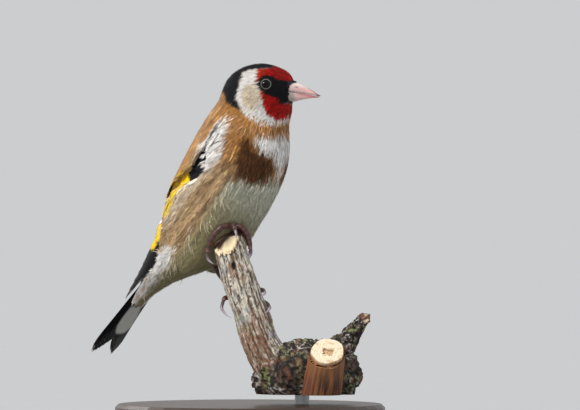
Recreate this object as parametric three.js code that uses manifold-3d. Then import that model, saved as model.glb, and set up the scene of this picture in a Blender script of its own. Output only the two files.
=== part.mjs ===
// A European goldfinch, life size, perched on a broken branch that a plain round stand carries.
// Millimetres, +Z up. The bird's body faces +X, its left side is +Y, and the origin is under the stand.
import * as THREE from "three";
import { mergeVertices } from "three/addons/utils/BufferGeometryUtils.js";
import Module from "manifold-3d";

const wasm = await Module();
wasm.setup();

const DEG = Math.PI / 180;
const GAP = 0.3; // left between pieces that touch

// The stand: a round base and one short rod up to the perch.
const BASE_RADIUS = 48;
const BASE_HEIGHT = 8;
const BASE_EDGE = 1.2;
const BASE_SIDES = 40;
const ROD_RADIUS = 2.6;
const ROD_PLACE = { h: 18.5, q: 4 };

// The head and the perch lie along a vertical plane that is turned from the body's own plane.
const SIDE_TURN = 30 * DEG;

// The body's middle line, from the tail coverts up to the neck, with the radius of the plumage.
const SPINE = [
  { x: -47.4, z: 42.4, r: 1.3, wide: 1.8 },
  { x: -43.8, z: 47.6, r: 3.0, wide: 1.45 },
  { x: -39.6, z: 52.6, r: 5.0, wide: 1.2 },
  { x: -34.9, z: 57.2, r: 7.1, wide: 1.06 },
  { x: -29.3, z: 62.4, r: 10.2, wide: 0.98 },
  { x: -23.3, z: 68.3, r: 13.9, wide: 0.96 },
  { x: -17.2, z: 75.4, r: 16.6, wide: 0.96 },
  { x: -11.7, z: 82.8, r: 17.8, wide: 0.96 },
  { x: -7.1, z: 90.2, r: 17.9, wide: 0.96 },
  { x: -3.4, z: 97.5, r: 17.2, wide: 0.96 },
  { x: -0.8, z: 105.6, r: 14.5, wide: 0.96 },
  { x: 1.2, z: 112.0, r: 11.8, wide: 0.95 },
  { x: 2.6, z: 117.6, r: 10.2, wide: 0.93 },
]; // wide is the width against the depth
const BODY_BLEND = 4;

// The head, in its own frame: x forward along the bill, y to the bird's left, z up.
const HEAD_CENTRE = { x: 2.9, z: 118.8 };
const HEAD_NARROWING = 0.93;
const FACE_TAPER = { from: 4.5, to: 12.5, share: 0.28 }; // the face narrows towards the bill
const HEAD_BLEND = 3.2;
const HEAD_LUMPS = [
  { x: 3.2, z: 0.1, r: 9.3 }, // skull over the eyes
  { x: -3.0, z: -1.4, r: 9.1 }, // back of the crown
  { x: 8.0, z: 1.6, r: 5.6 }, // forehead
  { x: 4.6, z: -5.2, r: 7.6 }, // cheeks and throat
];
const EYE = { x: 3.2, z: 2.5, r: 2.45, sunk: 1.9 }; // sunk is the depth of its centre in the head
const LID = { r: 2.05, thick: 0.42, sunk: 0.14 };

// Loose flank feathers bulge over the wing's lower edge.
const FLANK = { x: -12.2, y: 10.4, z: 75.0, along: 24, across: 10, deep: 6.2 };
const FLANK_BLEND = 2.5;

// Where the body is parted: a point on the middle line and the direction of the neck or body there.
const HEAD_CUT = { x: 1.6, z: 112.6, lean: 14 * DEG };
const NECK_CUT = { x: -0.4, z: 106.4, lean: 21 * DEG };
const RUMP_CUT = { x: -30.5, z: 61.4, lean: 42 * DEG };

// The bill, in the head's frame.
const BILL = {
  back: 7.6,
  tip: { upper: 22.4, lower: 21.9 },
  culmen: [5.0, 4.4, 3.45, 2.1, 0.5, -1.3],
  mouth: [0.6, 0.25, -0.35, -0.85, -1.25, -1.75],
  gonys: [-4.0, -3.9, -3.55, -2.85, -2.35, -2.1],
  halfWidth: [4.3, 4.1, 3.3, 2.2, 1.2, 0.3],
  fullness: { upper: 0.85, lower: 0.38 }, // less is squarer
};
const NOSTRIL = { x: 14.1, y: 2.6, z: 1.5, r: 0.42 };

// The folded wing lies on a curved bed round the body. a runs along the wing from the wrist to the tips,
// an angle of 0 is the middle of the back and 90 the flank, and h is the height over the bed.
const WING_START = { x: -13.1, z: 114.8 };
const WING_LEAN = 26.9 * DEG; // of the wing from the vertical
const WING_STEP = 13; // between the bed's stations
const BED_DEPTH = [14.5, 17.4, 17.3, 15.3, 11.2, 6.4, 3.2];
const BED_SINK = [2.6, 3.2, 3.4, 2.6, 1.3, 0.3, -1.7];
const BED_SIDE = [11.6, 12.7, 12.6, 11.2, 9.0, 6.6, 5.2];
const WING_FLOOR = -0.3; // height of the wing's underside over the bed
const WING_ENVELOPE = {
  a: [7, 10, 16, 28, 40, 52, 64, 74, 79.5],
  upper: [48, 34, 22, 10, 3, 2, 2, 4, 10],
  lower: [96, 102, 104, 104, 100, 96, 90, 80, 66],
  top: [2.6, 3.2, 3.7, 3.7, 3.6, 3.2, 2.5, 2.0, 1.6],
};
// The part of the wing that the mantle and the flank feathers leave bare, as angles along it.
const WINDOW = {
  a: [12.5, 17, 21, 24, 27, 30, 35, 40, 46, 53, 60, 67, 80],
  upper: [63, 61, 58, 52, 45, 36, 27, 14, 0, 0, 0, 0, 0],
  lower: [69, 77, 81, 74, 64, 52, 44, 44, 55, 69, 84, 98, 98],
};
const WING_COVER = 1.5; // least depth of the wing under the plumage that hides it
const COVER_THICK = 0.9;

// The wing's feathers, row by row, each row from its outermost feather to its innermost. Roots and tips are
// given along the wing and round the body, and height is that of the row's middle over the bed.
const VANE_THICK = 0.55;
const LONG_VANE = { at: [0, 0.3, 0.58, 0.84, 0.95], wide: [0.4, 0.8, 1, 0.94, 0.6] };
const SHORT_VANE = { at: [0, 0.45, 0.8, 0.94], wide: [0.5, 0.95, 1, 0.66] };
const TAIL_VANE = { at: [0, 0.35, 0.62, 0.86, 0.95], wide: [0.36, 0.66, 0.9, 1, 0.64] };
const WING_ROWS = [
  { // primaries
    count: 6, shape: LONG_VANE, width: 5.6,
    root: { a: [15, 21], angle: [88, 76], h: [0.3, 0.7] },
    tip: { a: [77, 78.5, 74, 68.5, 63, 57.5], angle: [40, 22], h: [0.3, 1.5] },
  },
  { // secondaries
    count: 4, shape: LONG_VANE, width: 6,
    root: { a: [22, 26], angle: [72, 54], h: [1.1, 1.3] },
    tip: { a: [54, 53, 51.5, 50], angle: [50, 24], h: [1.7, 2.4] },
  },
  { // tertials
    count: 3, shape: SHORT_VANE, width: 7,
    root: { a: [25, 27], angle: [50, 32], h: [1.5, 1.6] },
    tip: { a: [48, 43.5, 38], angle: [28, 15], h: [2.6, 3.0] },
  },
  { // greater coverts
    count: 6, shape: SHORT_VANE, width: 5.2,
    root: { a: [15, 19], angle: [84, 44], h: [1.7, 1.8] },
    tip: { a: [30, 31.5, 32], angle: [80, 36], h: [1.9, 2.9] },
  },
  { // median coverts
    count: 4, shape: SHORT_VANE, width: 5,
    root: { a: [11, 13], angle: [83, 52], h: [2.1, 2.2] },
    tip: { a: [20.5, 21.5], angle: [82, 46], h: [2.6, 3.2] },
  },
];
// The flesh of the folded arm and hand, which holds the roots.
const ARM = {
  a: [7.5, 11, 15, 20, 25, 29],
  upper: [64, 48, 38, 30, 26, 32],
  lower: [86, 94, 98, 95, 84, 68],
  top: [1.7, 2.2, 2.3, 2.1, 1.8, 1.4],
};

// The tail: twelve feathers, the outer ones under the inner ones, in a shallow fork.
const TAIL_ROOT = { x: -29.2, z: 63.1 };
const TAIL_LEAN = 40.4 * DEG;
const TAIL_ROLL = 8 * DEG;
const TAIL_LENGTHS = [43, 44.4, 45.8, 47.0, 48.0, 47.6];
const TAIL_TIPS = [1.4, 2.2, 3.0, 3.7, 4.4, 5.0]; // sideways, of the feathers' shafts
const TAIL_ROOTS = [0.3, 0.6, 0.9, 1.2, 1.5, 1.8];
const TAIL_WIDTH = 5.8;
const TAIL_START = 9;
const TAIL_CREST = -0.1; // height of the middle feathers over the tail's plane
const TAIL_STEP = 0.27; // of one feather over the next

// The perch, in its plane: h to the photograph's right, z up, q towards the photograph's viewer.
const BRANCH = [
  { h: -9.4, z: 71.5, q: 7.8, r: 5.1 },
  { h: -7.5, z: 65.2, q: 7.6, r: 5.3 },
  { h: -3.7, z: 51.8, q: 7.2, r: 5.5 },
  { h: 1.1, z: 37.6, q: 6.4, r: 5.8 },
  { h: 5.2, z: 27.6, q: 5.0, r: 6.3 },
  { h: 11.5, z: 17.5, q: 3.6, r: 6.8 },
];
const BREAK_CUTS = [
  { h: -8.5, z: 67.6, q: 7.8, normal: [-0.25, 1, 0.6] },
  { h: -10.5, z: 64.5, q: 9.5, normal: [-0.45, 0.5, 0.74] },
];
const KNOT = { h: 20.2, z: 17.4, q: 4.0, halfH: 17.6, halfZ: 12.4, halfQ: 12.2 };
const PERCH_FOOT = 11.6; // height of the flat saw cut under the perch
const STUB = { face: [27.4, 27.2, 17.4], cut: [0.06, 0.76, 0.65], run: [0.16, 0.95, 0.27], length: 27, r: 6.3 };
const STUB_SPREAD = 1.3; // its foot against its face
const TWIG = [
  { h: 24.5, z: 19.0, q: 2.5, r: 7.6 },
  { h: 31.5, z: 27.0, q: 2.5, r: 6.2 },
  { h: 36.0, z: 32.4, q: 3.0, r: 4.4 },
  { h: 39.0, z: 36.6, q: 3.4, r: 3.2 },
  { h: 41.6, z: 39.0, q: 3.6, r: 2.2 },
];

// Legs and toes, in the perch's plane. The near foot grips the broken tip, the far one the branch lower down.
const THIGH_RADIUS = 5;
const SHANK_RADIUS = 0.95;
const TOE_RADIUS = 0.82;
const TOE_SHRINK = 0.8; // of a toe's radius at its tip
const CLAW_RADIUS = 0.55;
const LEGS = {
  right: {
    thigh: [[-18.0, 70.0, 1.0], [-14.0, 69.0, 2.0], [-9.5, 69.6, 1.8]],
    shank: [[-10.0, 70.5, 1.0], [-8.0, 71.4, 4.4], [-6.0, 70.6, 8.2]],
    toes: {
      outer: [[-6.0, 70.6, 8.2], [-8.7, 71.1, 9.6], [-11.0, 69.9, 10.2], [-13.7, 66.4, 10.0], [-15.0, 61.9, 9.2]],
      middle: [[-6.0, 70.6, 8.2], [-5.7, 71.2, 9.8], [-5.3, 70.3, 11.4]],
      inner: [[-6.0, 70.6, 8.2], [-3.2, 70.9, 8.3], [-0.9, 68.3, 8.4], [0.0, 65.2, 8.5], [0.1, 63.0, 8.5]],
      hind: [[-6.0, 70.6, 8.2], [-3.8, 70.5, 5.6], [-1.3, 67.4, 4.0], [0.0, 64.0, 3.6]],
    },
    claws: {
      outer: [[-15.1, 61.2, 9.2], [-14.6, 59.2, 9.4], [-12.8, 57.7, 9.8]],
      middle: [[-5.2, 69.9, 12.0], [-4.9, 68.9, 13.4], [-4.6, 67.0, 13.8]],
      inner: [[0.1, 62.4, 8.6], [-0.1, 60.6, 9.2], [-1.3, 58.9, 10.0]],
      hind: [[0.2, 63.3, 3.6], [0.4, 61.4, 3.9], [-0.4, 59.2, 4.4]],
    },
  },
  left: {
    thigh: [[-16.5, 68.0, -8.5], [-14.2, 61.5, -8.6], [-11.2, 54.4, -7.0]],
    shank: [[-12.4, 56.6, -7.8], [-9.6, 52.4, -6.0], [-2.0, 47.0, -0.4]],
    toes: {
      outer: [[-2.0, 47.0, -0.4], [1.6, 48.4, 0.4], [4.3, 48.4, 3.2], [4.9, 48.2, 5.4]],
      middle: [[-2.0, 47.0, -0.4], [2.0, 45.4, -0.2], [5.4, 43.9, 2.4], [6.5, 43.2, 5.0]],
      inner: [[-2.0, 47.0, -0.4], [-0.6, 43.2, -0.3], [2.4, 40.2, 0.4], [5.4, 38.8, 2.2]],
      hind: [[-2.0, 47.0, -0.4], [-5.6, 46.4, 0.4], [-8.8, 45.6, 3.2], [-9.3, 44.9, 5.2]],
    },
    claws: {
      outer: [[5.0, 48.1, 6.0], [5.2, 47.4, 7.8], [4.0, 46.0, 10.0]],
      middle: [[6.7, 42.9, 5.7], [7.0, 42.0, 7.6], [5.6, 40.4, 9.8]],
      inner: [[5.9, 38.5, 2.8], [7.0, 37.8, 4.2], [7.2, 36.6, 6.0]],
      hind: [[-9.5, 44.4, 5.8], [-9.9, 42.0, 7.4], [-8.3, 39.8, 8.8], [-6.4, 38.8, 10.0]],
    },
  },
};

// One material for each kind of surface.
const finish = (color, roughness, metalness = 0) =>
  new THREE.MeshStandardMaterial({ color, roughness, metalness });
const FINISHES = {
  plumage: finish("#b98a58", 0.85),
  headPlumage: finish("#a5231a", 0.85),
  wing: finish("#17150f", 0.6),
  tail: finish("#171614", 0.6),
  bill: finish("#d9b9b4", 0.45),
  eye: finish("#0d0a08", 0.1),
  leg: finish("#6b4438", 0.6),
  claw: finish("#8f8690", 0.4),
  wood: finish("#b3a696", 0.85),
  bark: finish("#4a423a", 0.95),
  cutWood: finish("#e2cb9a", 0.8),
  stand: finish("#2b211a", 0.4),
  rod: finish("#8d8f92", 0.3, 0.9),
};

// Plain geometry helpers.
const mix = (a, b, t) => a + (b - a) * t;
const clamp01 = (t) => Math.min(1, Math.max(0, t));
function smoothStep(low, high, value) {
  const t = clamp01((value - low) / (high - low));
  return t * t * (3 - 2 * t);
}

// Values at equal steps, joined by a smooth curve and read at t steps from the first.
function smoothRow(row, t) {
  const i = Math.min(row.length - 2, Math.max(0, Math.floor(t)));
  const f = clamp01(t - i);
  const at = (k) => row[Math.min(row.length - 1, Math.max(0, k))];
  const [p0, p1, p2, p3] = [at(i - 1), at(i), at(i + 1), at(i + 2)];
  return p1 + 0.5 * f * (p2 - p0 + f * (2 * p0 - 5 * p1 + 4 * p2 - p3 + f * (3 * (p1 - p2) + p3 - p0)));
}

// Values at the given places, joined by straight lines.
function lineRow(places, row, place) {
  let i = 0;
  while (i < places.length - 2 && place > places[i + 1]) i += 1;
  return mix(row[i], row[i + 1], clamp01((place - places[i]) / (places[i + 1] - places[i])));
}

const smoothMin = (a, b, k) => {
  const h = Math.max(k - Math.abs(a - b), 0) / k;
  return Math.min(a, b) - (h * h * k) / 4;
};

// A closed surface through rings of points, with a point at each end. Rings with a fold, such as vanes,
// give mirrored: the quads from that place on are split the other way, like those on the opposite face.
function skinOf(rings, start, end, mirrored = Infinity) {
  const n = rings[0].length;
  const points = [start, ...rings.flat(), end];
  const faces = [];
  const at = (ring, j) => 1 + ring * n + (j % n);
  for (let j = 0; j < n; j += 1) {
    faces.push([0, at(0, j + 1), at(0, j)]);
    faces.push([points.length - 1, at(rings.length - 1, j), at(rings.length - 1, j + 1)]);
    for (let k = 0; k + 1 < rings.length; k += 1) {
      const [a, b, c, d] = [at(k, j), at(k, j + 1), at(k + 1, j + 1), at(k + 1, j)];
      if (j < mirrored) faces.push([a, b, c], [a, c, d]);
      else faces.push([a, b, d], [b, c, d]);
    }
  }
  return closed(points, faces);
}

// Points and faces as a solid, its faces turned outwards.
function closed(points, faces) {
  const geometry = new THREE.BufferGeometry();
  geometry.setAttribute("position", new THREE.Float32BufferAttribute(points.flatMap((p) => [p.x, p.y, p.z]), 3));
  geometry.setIndex(faces.flat());
  return outwards(geometry);
}

function outwards(geometry) {
  const solid = toSolid(geometry);
  if (solid.volume() > 0) return solid;
  geometry.setIndex(Array.from(geometry.index.array).reverse());
  return toSolid(geometry);
}

function toSolid(geometry) {
  const bare = geometry.clone();
  bare.deleteAttribute("normal");
  bare.deleteAttribute("uv");
  const merged = mergeVertices(bare, 1e-4);
  const vertProperties = new Float32Array(merged.attributes.position.array);
  return new wasm.Manifold(
    new wasm.Mesh({ numProp: 3, vertProperties, triVerts: new Uint32Array(merged.index.array) }),
  );
}

function toGeometry(solid) {
  const mesh = solid.getMesh();
  const geometry = new THREE.BufferGeometry();
  geometry.setAttribute("position", new THREE.BufferAttribute(new Float32Array(mesh.vertProperties), 3));
  geometry.setIndex(new THREE.BufferAttribute(new Uint32Array(mesh.triVerts), 1));
  return geometry;
}

const largest = (solid) => solid.decompose().reduce((a, b) => (b.volume() > a.volume() ? b : a));
const joined = (solids) => largest(solids.reduce((a, b) => a.add(b)));

// Keeps the part of a solid on the side of a plane that its normal points to.
function keepAbove(solid, point, normal) {
  const size = 400;
  const box = new THREE.BoxGeometry(size, size, size);
  box.translate(0, 0, size / 2);
  box.applyQuaternion(new THREE.Quaternion().setFromUnitVectors(new THREE.Vector3(0, 0, 1), normal));
  box.translate(point.x, point.y, point.z);
  return solid.intersect(toSolid(box));
}

// A tube of changing radius along a smooth curve, with rounded ends. bump gives each point its own radius.
function tube(points, radii, { sides = 8, steps = 10, bump = () => 1 } = {}) {
  const curve = new THREE.CatmullRomCurve3(points, false, "centripetal");
  const frames = curve.computeFrenetFrames(steps, false);
  const rings = [];
  const ring = (t, k, scale) => {
    const centre = curve.getPointAt(t);
    const r = smoothRow(radii, t * (radii.length - 1)) * scale;
    return Array.from({ length: sides }, (_, j) => {
      const angle = (2 * Math.PI * j) / sides;
      const out = frames.normals[k].clone().multiplyScalar(Math.cos(angle));
      out.addScaledVector(frames.binormals[k], Math.sin(angle));
      return centre.clone().addScaledVector(out, r * bump(t, angle));
    });
  };
  for (let k = 0; k <= steps; k += 1) rings.push(ring(k / steps, k, k === 0 || k === steps ? 0.72 : 1));
  const ends = [0, 1].map((t) => {
    const out = curve.getTangentAt(t).multiplyScalar((t === 0 ? -0.45 : 0.45) * radii.at(-t));
    return curve.getPointAt(t).add(out);
  });
  return skinOf(rings, ends[0], ends[1]);
}

// Frames: the body's own plane, the head, and the perch's plane.
const UP = new THREE.Vector3(0, 0, 1);
const RIGHT = new THREE.Vector3(Math.cos(SIDE_TURN), Math.sin(SIDE_TURN), 0);
const FRONT = new THREE.Vector3(Math.sin(SIDE_TURN), -Math.cos(SIDE_TURN), 0);
const perchPoint = (h, z, q) => new THREE.Vector3(0, 0, z).addScaledVector(RIGHT, h).addScaledVector(FRONT, q);
const headPoint = (x, y, z) =>
  new THREE.Vector3(HEAD_CENTRE.x, 0, HEAD_CENTRE.z + z).addScaledVector(RIGHT, x).addScaledVector(FRONT, -y);

// The plumage's outer surface, as a signed distance.
const SPINE_STEPS = 30;
const spineCurve = new THREE.CatmullRomCurve3(SPINE.map((s) => new THREE.Vector3(s.x, 0, s.z)));
const spinePoints = Array.from({ length: SPINE_STEPS + 1 }, (_, i) => {
  const t = i / SPINE_STEPS;
  const [r, wide] = ["r", "wide"].map((key) => smoothRow(SPINE.map((s) => s[key]), t * (SPINE.length - 1)));
  return { ...spineCurve.getPoint(t), r, wide };
});

function spineDistance(p) {
  let best = Infinity;
  for (let i = 0; i < SPINE_STEPS; i += 1) {
    const [a, b] = [spinePoints[i], spinePoints[i + 1]];
    const [dx, dz] = [b.x - a.x, b.z - a.z];
    const t = clamp01(((p.x - a.x) * dx + (p.z - a.z) * dz) / (dx * dx + dz * dz));
    const across = Math.hypot(p.x - a.x - t * dx, p.y / mix(a.wide, b.wide, t), p.z - a.z - t * dz);
    best = Math.min(best, across - mix(a.r, b.r, t));
  }
  return best;
}

function headDistance(p) {
  const d = new THREE.Vector3(p.x - HEAD_CENTRE.x, p.y, p.z - HEAD_CENTRE.z);
  const x = d.dot(RIGHT);
  const taper = FACE_TAPER.share * smoothStep(FACE_TAPER.from, FACE_TAPER.to, x);
  const [y, z] = [d.dot(FRONT) / (HEAD_NARROWING - taper), d.z];
  return HEAD_LUMPS.map((s) => Math.hypot(x - s.x, y, z - s.z) - s.r).reduce((a, b) => smoothMin(a, b, HEAD_BLEND));
}

const bodyAxis = new THREE.Vector3(Math.sin(WING_LEAN), 0, Math.cos(WING_LEAN));
function flankDistance(p) {
  const d = new THREE.Vector3(p.x - FLANK.x, Math.abs(p.y) - FLANK.y, p.z - FLANK.z);
  const along = d.dot(bodyAxis);
  const across = d.x * bodyAxis.z - d.z * bodyAxis.x;
  const k = Math.hypot(along / FLANK.along, across / FLANK.across, d.y / FLANK.deep);
  return (k - 1) * FLANK.deep;
}

function bodyDistance(p) {
  const d = smoothMin(spineDistance(p), headDistance(p), BODY_BLEND);
  return smoothMin(d, flankDistance(p), FLANK_BLEND);
}

// How far the plumage reaches from a point inside it, in one direction.
function reach(from, direction, grow, most) {
  let [low, high] = [0, most];
  for (let i = 0; i < 22; i += 1) {
    const middle = (low + high) / 2;
    if (bodyDistance(from.clone().addScaledVector(direction, middle)) < grow) low = middle;
    else high = middle;
  }
  return (low + high) / 2;
}

// The trunk of the body, from the tail coverts into the head, as rings of points.
function trunkSolid(grow, stations = 22, sides = 24) {
  const most = 26;
  const rings = [];
  for (let k = 0; k < stations; k += 1) {
    const t = k / (stations - 1);
    const c = spineCurve.getPoint(t);
    const run = spineCurve.getTangent(t).setY(0).normalize();
    const back = new THREE.Vector3(-run.z, 0, run.x);
    const centre = new THREE.Vector3(c.x, 0, c.z);
    rings.push(
      Array.from({ length: sides }, (_, j) => {
        const angle = (2 * Math.PI * j) / sides;
        const out = back.clone().multiplyScalar(Math.cos(angle));
        out.y = Math.sin(angle);
        return centre.clone().addScaledVector(out, reach(centre, out, grow, most));
      }),
    );
  }
  const first = new THREE.Vector3(SPINE[0].x, 0, SPINE[0].z);
  const down = spineCurve.getTangent(0).setY(0).normalize().negate();
  const tip = first.clone().addScaledVector(down, reach(first, down, grow, most));
  const last = spineCurve.getPoint(1);
  return skinOf(rings, tip, new THREE.Vector3(last.x, 0, last.z));
}

// The head as rings round the line of the bill, wide enough to reach past the cut at the neck.
function headSolid(grow) {
  const [rows, sides, most] = [14, 24, 20];
  const centre = headPoint(1.5, 0, -1.5);
  const side = FRONT.clone().negate();
  const along = (angle, turn) =>
    RIGHT.clone()
      .multiplyScalar(Math.cos(angle))
      .addScaledVector(UP, Math.sin(angle) * Math.cos(turn))
      .addScaledVector(side, Math.sin(angle) * Math.sin(turn));
  const out = (angle, turn) => {
    const direction = along(angle, turn);
    return centre.clone().addScaledVector(direction, reach(centre, direction, grow, most));
  };
  const rings = Array.from({ length: rows }, (_, k) => {
    const angle = (Math.PI * (k + 1)) / (rows + 1);
    return Array.from({ length: sides }, (_, j) => out(angle, (2 * Math.PI * j) / sides));
  });
  return skinOf(rings, out(0, 0), out(Math.PI, 0));
}

// The plumage grown by a little, to cut clear what grows out of it.
const trunkClear = trunkSolid(GAP);
const headClear = headSolid(GAP);
const clearOfBody = (solid) => largest(solid.subtract(trunkClear).subtract(headClear));

const cutPlane = (cut) => ({
  point: new THREE.Vector3(cut.x, 0, cut.z),
  normal: new THREE.Vector3(Math.sin(cut.lean), 0, Math.cos(cut.lean)),
});

// Keeps what lies above one cut and below another, less half a gap at each.
function between(solid, low, high) {
  let kept = solid;
  if (low) {
    const { point, normal } = cutPlane(low);
    kept = keepAbove(kept, point.addScaledVector(normal, GAP / 2), normal);
  }
  if (high) {
    const { point, normal } = cutPlane(high);
    kept = keepAbove(kept, point.addScaledVector(normal, -GAP / 2), normal.negate());
  }
  return largest(kept);
}

// A point on the wing's bed.
const wingAxis = new THREE.Vector3(-Math.sin(WING_LEAN), 0, -Math.cos(WING_LEAN));
const wingBack = new THREE.Vector3(-Math.cos(WING_LEAN), 0, Math.sin(WING_LEAN));
function wingPoint(a, angle, h, side) {
  const step = a / WING_STEP;
  const [depth, sink, width] = [BED_DEPTH, BED_SINK, BED_SIDE].map((row) => smoothRow(row, step));
  const point = new THREE.Vector3(WING_START.x, 0, WING_START.z).addScaledVector(wingAxis, a);
  point.addScaledVector(wingBack, -depth + (depth - sink + h) * Math.cos(angle * DEG));
  point.y = side * (width + h) * Math.sin(angle * DEG);
  return point;
}
const bedRadius = (a) => smoothRow(BED_SIDE, a / WING_STEP);

// A slab over the bed, from one height to another, between the angles that a shape gives at its stations.
function wingSlab(shape, side, low, high, { split = 1, across = 6 } = {}) {
  const rings = [];
  const last = (shape.a.length - 1) * split;
  for (let k = 0; k <= last; k += 1) {
    const [a, upper, lower] = [shape.a, shape.upper, shape.lower].map((row) => {
      const i = Math.min(row.length - 2, Math.floor(k / split));
      return mix(row[i], row[i + 1], k / split - i);
    });
    const face = (h) =>
      Array.from({ length: across + 1 }, (_, j) => wingPoint(a, mix(upper, lower, j / across), h(a), side));
    rings.push([...face(high), ...face(low).reverse()]);
  }
  const middle = (ring) => ring.reduce((s, p) => s.add(p), new THREE.Vector3()).divideScalar(ring.length);
  return skinOf(rings, middle(rings[0]), middle(rings.at(-1)), across + 1);
}

// The space over the bared part of the wing, and the hollow that the wing lies in.
const WINDOW_MARGIN = 2.5; // degrees, between the wing and the edge of the plumage over it
const EDGE_MARGIN = 3.5;
const wingTop = (a) => lineRow(WING_ENVELOPE.a, WING_ENVELOPE.top, a);
const widened = (shape, margin) => ({
  a: shape.a.map((a, i) => a + (i === 0 ? -0.3 * margin : i === shape.a.length - 1 ? 0.3 * margin : 0)),
  upper: shape.upper.map((v) => v - margin),
  lower: shape.lower.map((v) => v + margin),
});
const BARE_HEIGHT = 9; // over the bed, well clear of the plumage
const bareSpace = (side, margin, floor) =>
  wingSlab(widened(WINDOW, margin), side, () => floor, () => BARE_HEIGHT, { split: 2, across: 4 });

const hollowFloor = WING_FLOOR - 1.4 * GAP;
const wingHollow = (side) =>
  wingSlab(widened(WING_ENVELOPE, EDGE_MARGIN), side, () => hollowFloor, (a) => wingTop(a) + GAP, { split: 2 });
const wingPocket = (side) =>
  wingHollow(side).intersect(trunkSolid(-COVER_THICK)).add(bareSpace(side, WINDOW_MARGIN, -GAP));

// A feather's vane: a thin blade over a surface. at(t, x, h) gives a point at the share t of its length,
// x to its side and h over its middle.
function vane(at, shape, width) {
  const [top, bottom] = [VANE_THICK / 2, -VANE_THICK / 2];
  const rings = shape.at.map((t, k) => {
    const half = (shape.wide[k] * width) / 2;
    return [at(t, -half, top), at(t, half, top), at(t, half, bottom), at(t, -half, bottom)];
  });
  return skinOf(rings, at(-0.02, 0, 0), at(1, 0, 0), 2);
}

function wingFeather(row, i, side) {
  const share = i / (row.count - 1);
  const pick = (list) => smoothRow(list, share * (list.length - 1));
  const [root, tip] = [row.root, row.tip].map((end) => ({ a: pick(end.a), angle: pick(end.angle), h: pick(end.h) }));
  const at = (t, x, h) => {
    const a = mix(root.a, tip.a, t);
    const angle = mix(root.angle, tip.angle, t * Math.abs(t)) + x / (bedRadius(a) + root.h) / DEG;
    return wingPoint(a, angle, mix(root.h, tip.h, clamp01(t * 1.6)) + h, side);
  };
  return vane(at, row.shape, row.width);
}

function wing(side) {
  const arm = wingSlab(ARM, side, () => 0, (a) => lineRow(ARM.a, ARM.top, a));
  const feathers = WING_ROWS.flatMap((row) =>
    Array.from({ length: row.count }, (_, i) => wingFeather(row, i, side)),
  );
  const bed = wingSlab(WING_ENVELOPE, side, () => WING_FLOOR, wingTop, { split: 2 });
  const hidden = bed.intersect(trunkSolid(-WING_COVER, 20, 22));
  return largest(joined([arm, ...feathers]).intersect(hidden.add(bareSpace(side, 0, 0))));
}

// The tail as one slab, out to the fork's tips.
const tailAxis = new THREE.Vector3(-Math.sin(TAIL_LEAN), 0, -Math.cos(TAIL_LEAN));
const tailSide = new THREE.Vector3(0, 1, 0).applyAxisAngle(tailAxis, TAIL_ROLL);
const tailBack = new THREE.Vector3().crossVectors(tailAxis, tailSide);
const tailPoint = (s, y, h) =>
  new THREE.Vector3(TAIL_ROOT.x, 0, TAIL_ROOT.z)
    .addScaledVector(tailAxis, s)
    .addScaledVector(tailSide, y)
    .addScaledVector(tailBack, h);

function tailFeather(i, side) {
  const rise = TAIL_CREST - TAIL_STEP * (side > 0 ? i : i + 0.5);
  const at = (t, x, h) => {
    const y = mix(TAIL_ROOTS[i], TAIL_TIPS[i], Math.abs(t) ** 1.5);
    return tailPoint(mix(TAIL_START, TAIL_LENGTHS[i], t), side * (y + x), rise + h);
  };
  return vane(at, TAIL_VANE, TAIL_WIDTH);
}

function tail() {
  const feathers = [1, -1].flatMap((side) => TAIL_LENGTHS.map((_, i) => tailFeather(i, side)));
  return clearOfBody(joined(feathers));
}

// Head pieces.
const sideAt = (x, z) => reach(headPoint(x, 0, z), FRONT, 0, 12);
const headSide = sideAt(EYE.x, EYE.z);
const slopeX = (sideAt(EYE.x + 1, EYE.z) - sideAt(EYE.x - 1, EYE.z)) / 2;
const slopeZ = (sideAt(EYE.x, EYE.z + 1) - sideAt(EYE.x, EYE.z - 1)) / 2;
const eyeDepth = EYE.sunk / Math.hypot(slopeX, slopeZ, 1);

// The eye's centre lies square in from the head's sloping side.
function eyeBall(side, grow) {
  const ball = new THREE.SphereGeometry(EYE.r + grow, 12, 8);
  const [x, z] = [EYE.x + slopeX * eyeDepth, EYE.z + slopeZ * eyeDepth];
  const place = headPoint(x, side * (headSide - eyeDepth), z);
  ball.translate(place.x, place.y, place.z);
  return toSolid(ball);
}

// The lids follow the side of the head round the eye.
function lidRing(side) {
  const ring = new THREE.TorusGeometry(LID.r, LID.thick, 5, 16);
  const spots = ring.attributes.position;
  for (let i = 0; i < spots.count; i += 1) {
    const [x, z] = [EYE.x + spots.getX(i), EYE.z + spots.getY(i)];
    const place = headPoint(x, side * (sideAt(x, z) - LID.sunk - spots.getZ(i)), z);
    spots.setXYZ(i, place.x, place.y, place.z);
  }
  return outwards(ring);
}

// One mandible: half-round sections between the mouth's line and the culmen or the gonys.
function mandible(ridge, tip, lift, fullness) {
  const [sections, half, steps] = [BILL.mouth.length - 1, 4, 7];
  const rings = [];
  for (let k = 0; k <= steps; k += 1) {
    const t = k / steps;
    const x = mix(BILL.back, tip, 1 - (1 - t) ** 1.25);
    const place = ((x - BILL.back) / (tip - BILL.back)) * sections;
    const [mouth, edge, width] = [BILL.mouth, ridge, BILL.halfWidth].map((row) => smoothRow(row, place));
    const ring = [];
    for (let j = 0; j <= 2 * half; j += 1) {
      const angle = (Math.PI * j) / (2 * half);
      const z = mouth + lift + (edge - mouth - lift) * Math.sin(angle) ** fullness;
      ring.push(headPoint(x, width * Math.cos(angle), z));
    }
    ring.push(headPoint(x, 0, mouth + lift));
    rings.push(ring);
  }
  const end = (x, z) => headPoint(x, 0, z);
  const point = mix(BILL.mouth.at(-1) + lift, ridge.at(-1), 0.4);
  return skinOf(rings, end(BILL.back, BILL.mouth[0] + lift * 2), end(tip + 0.15, point));
}

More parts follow.
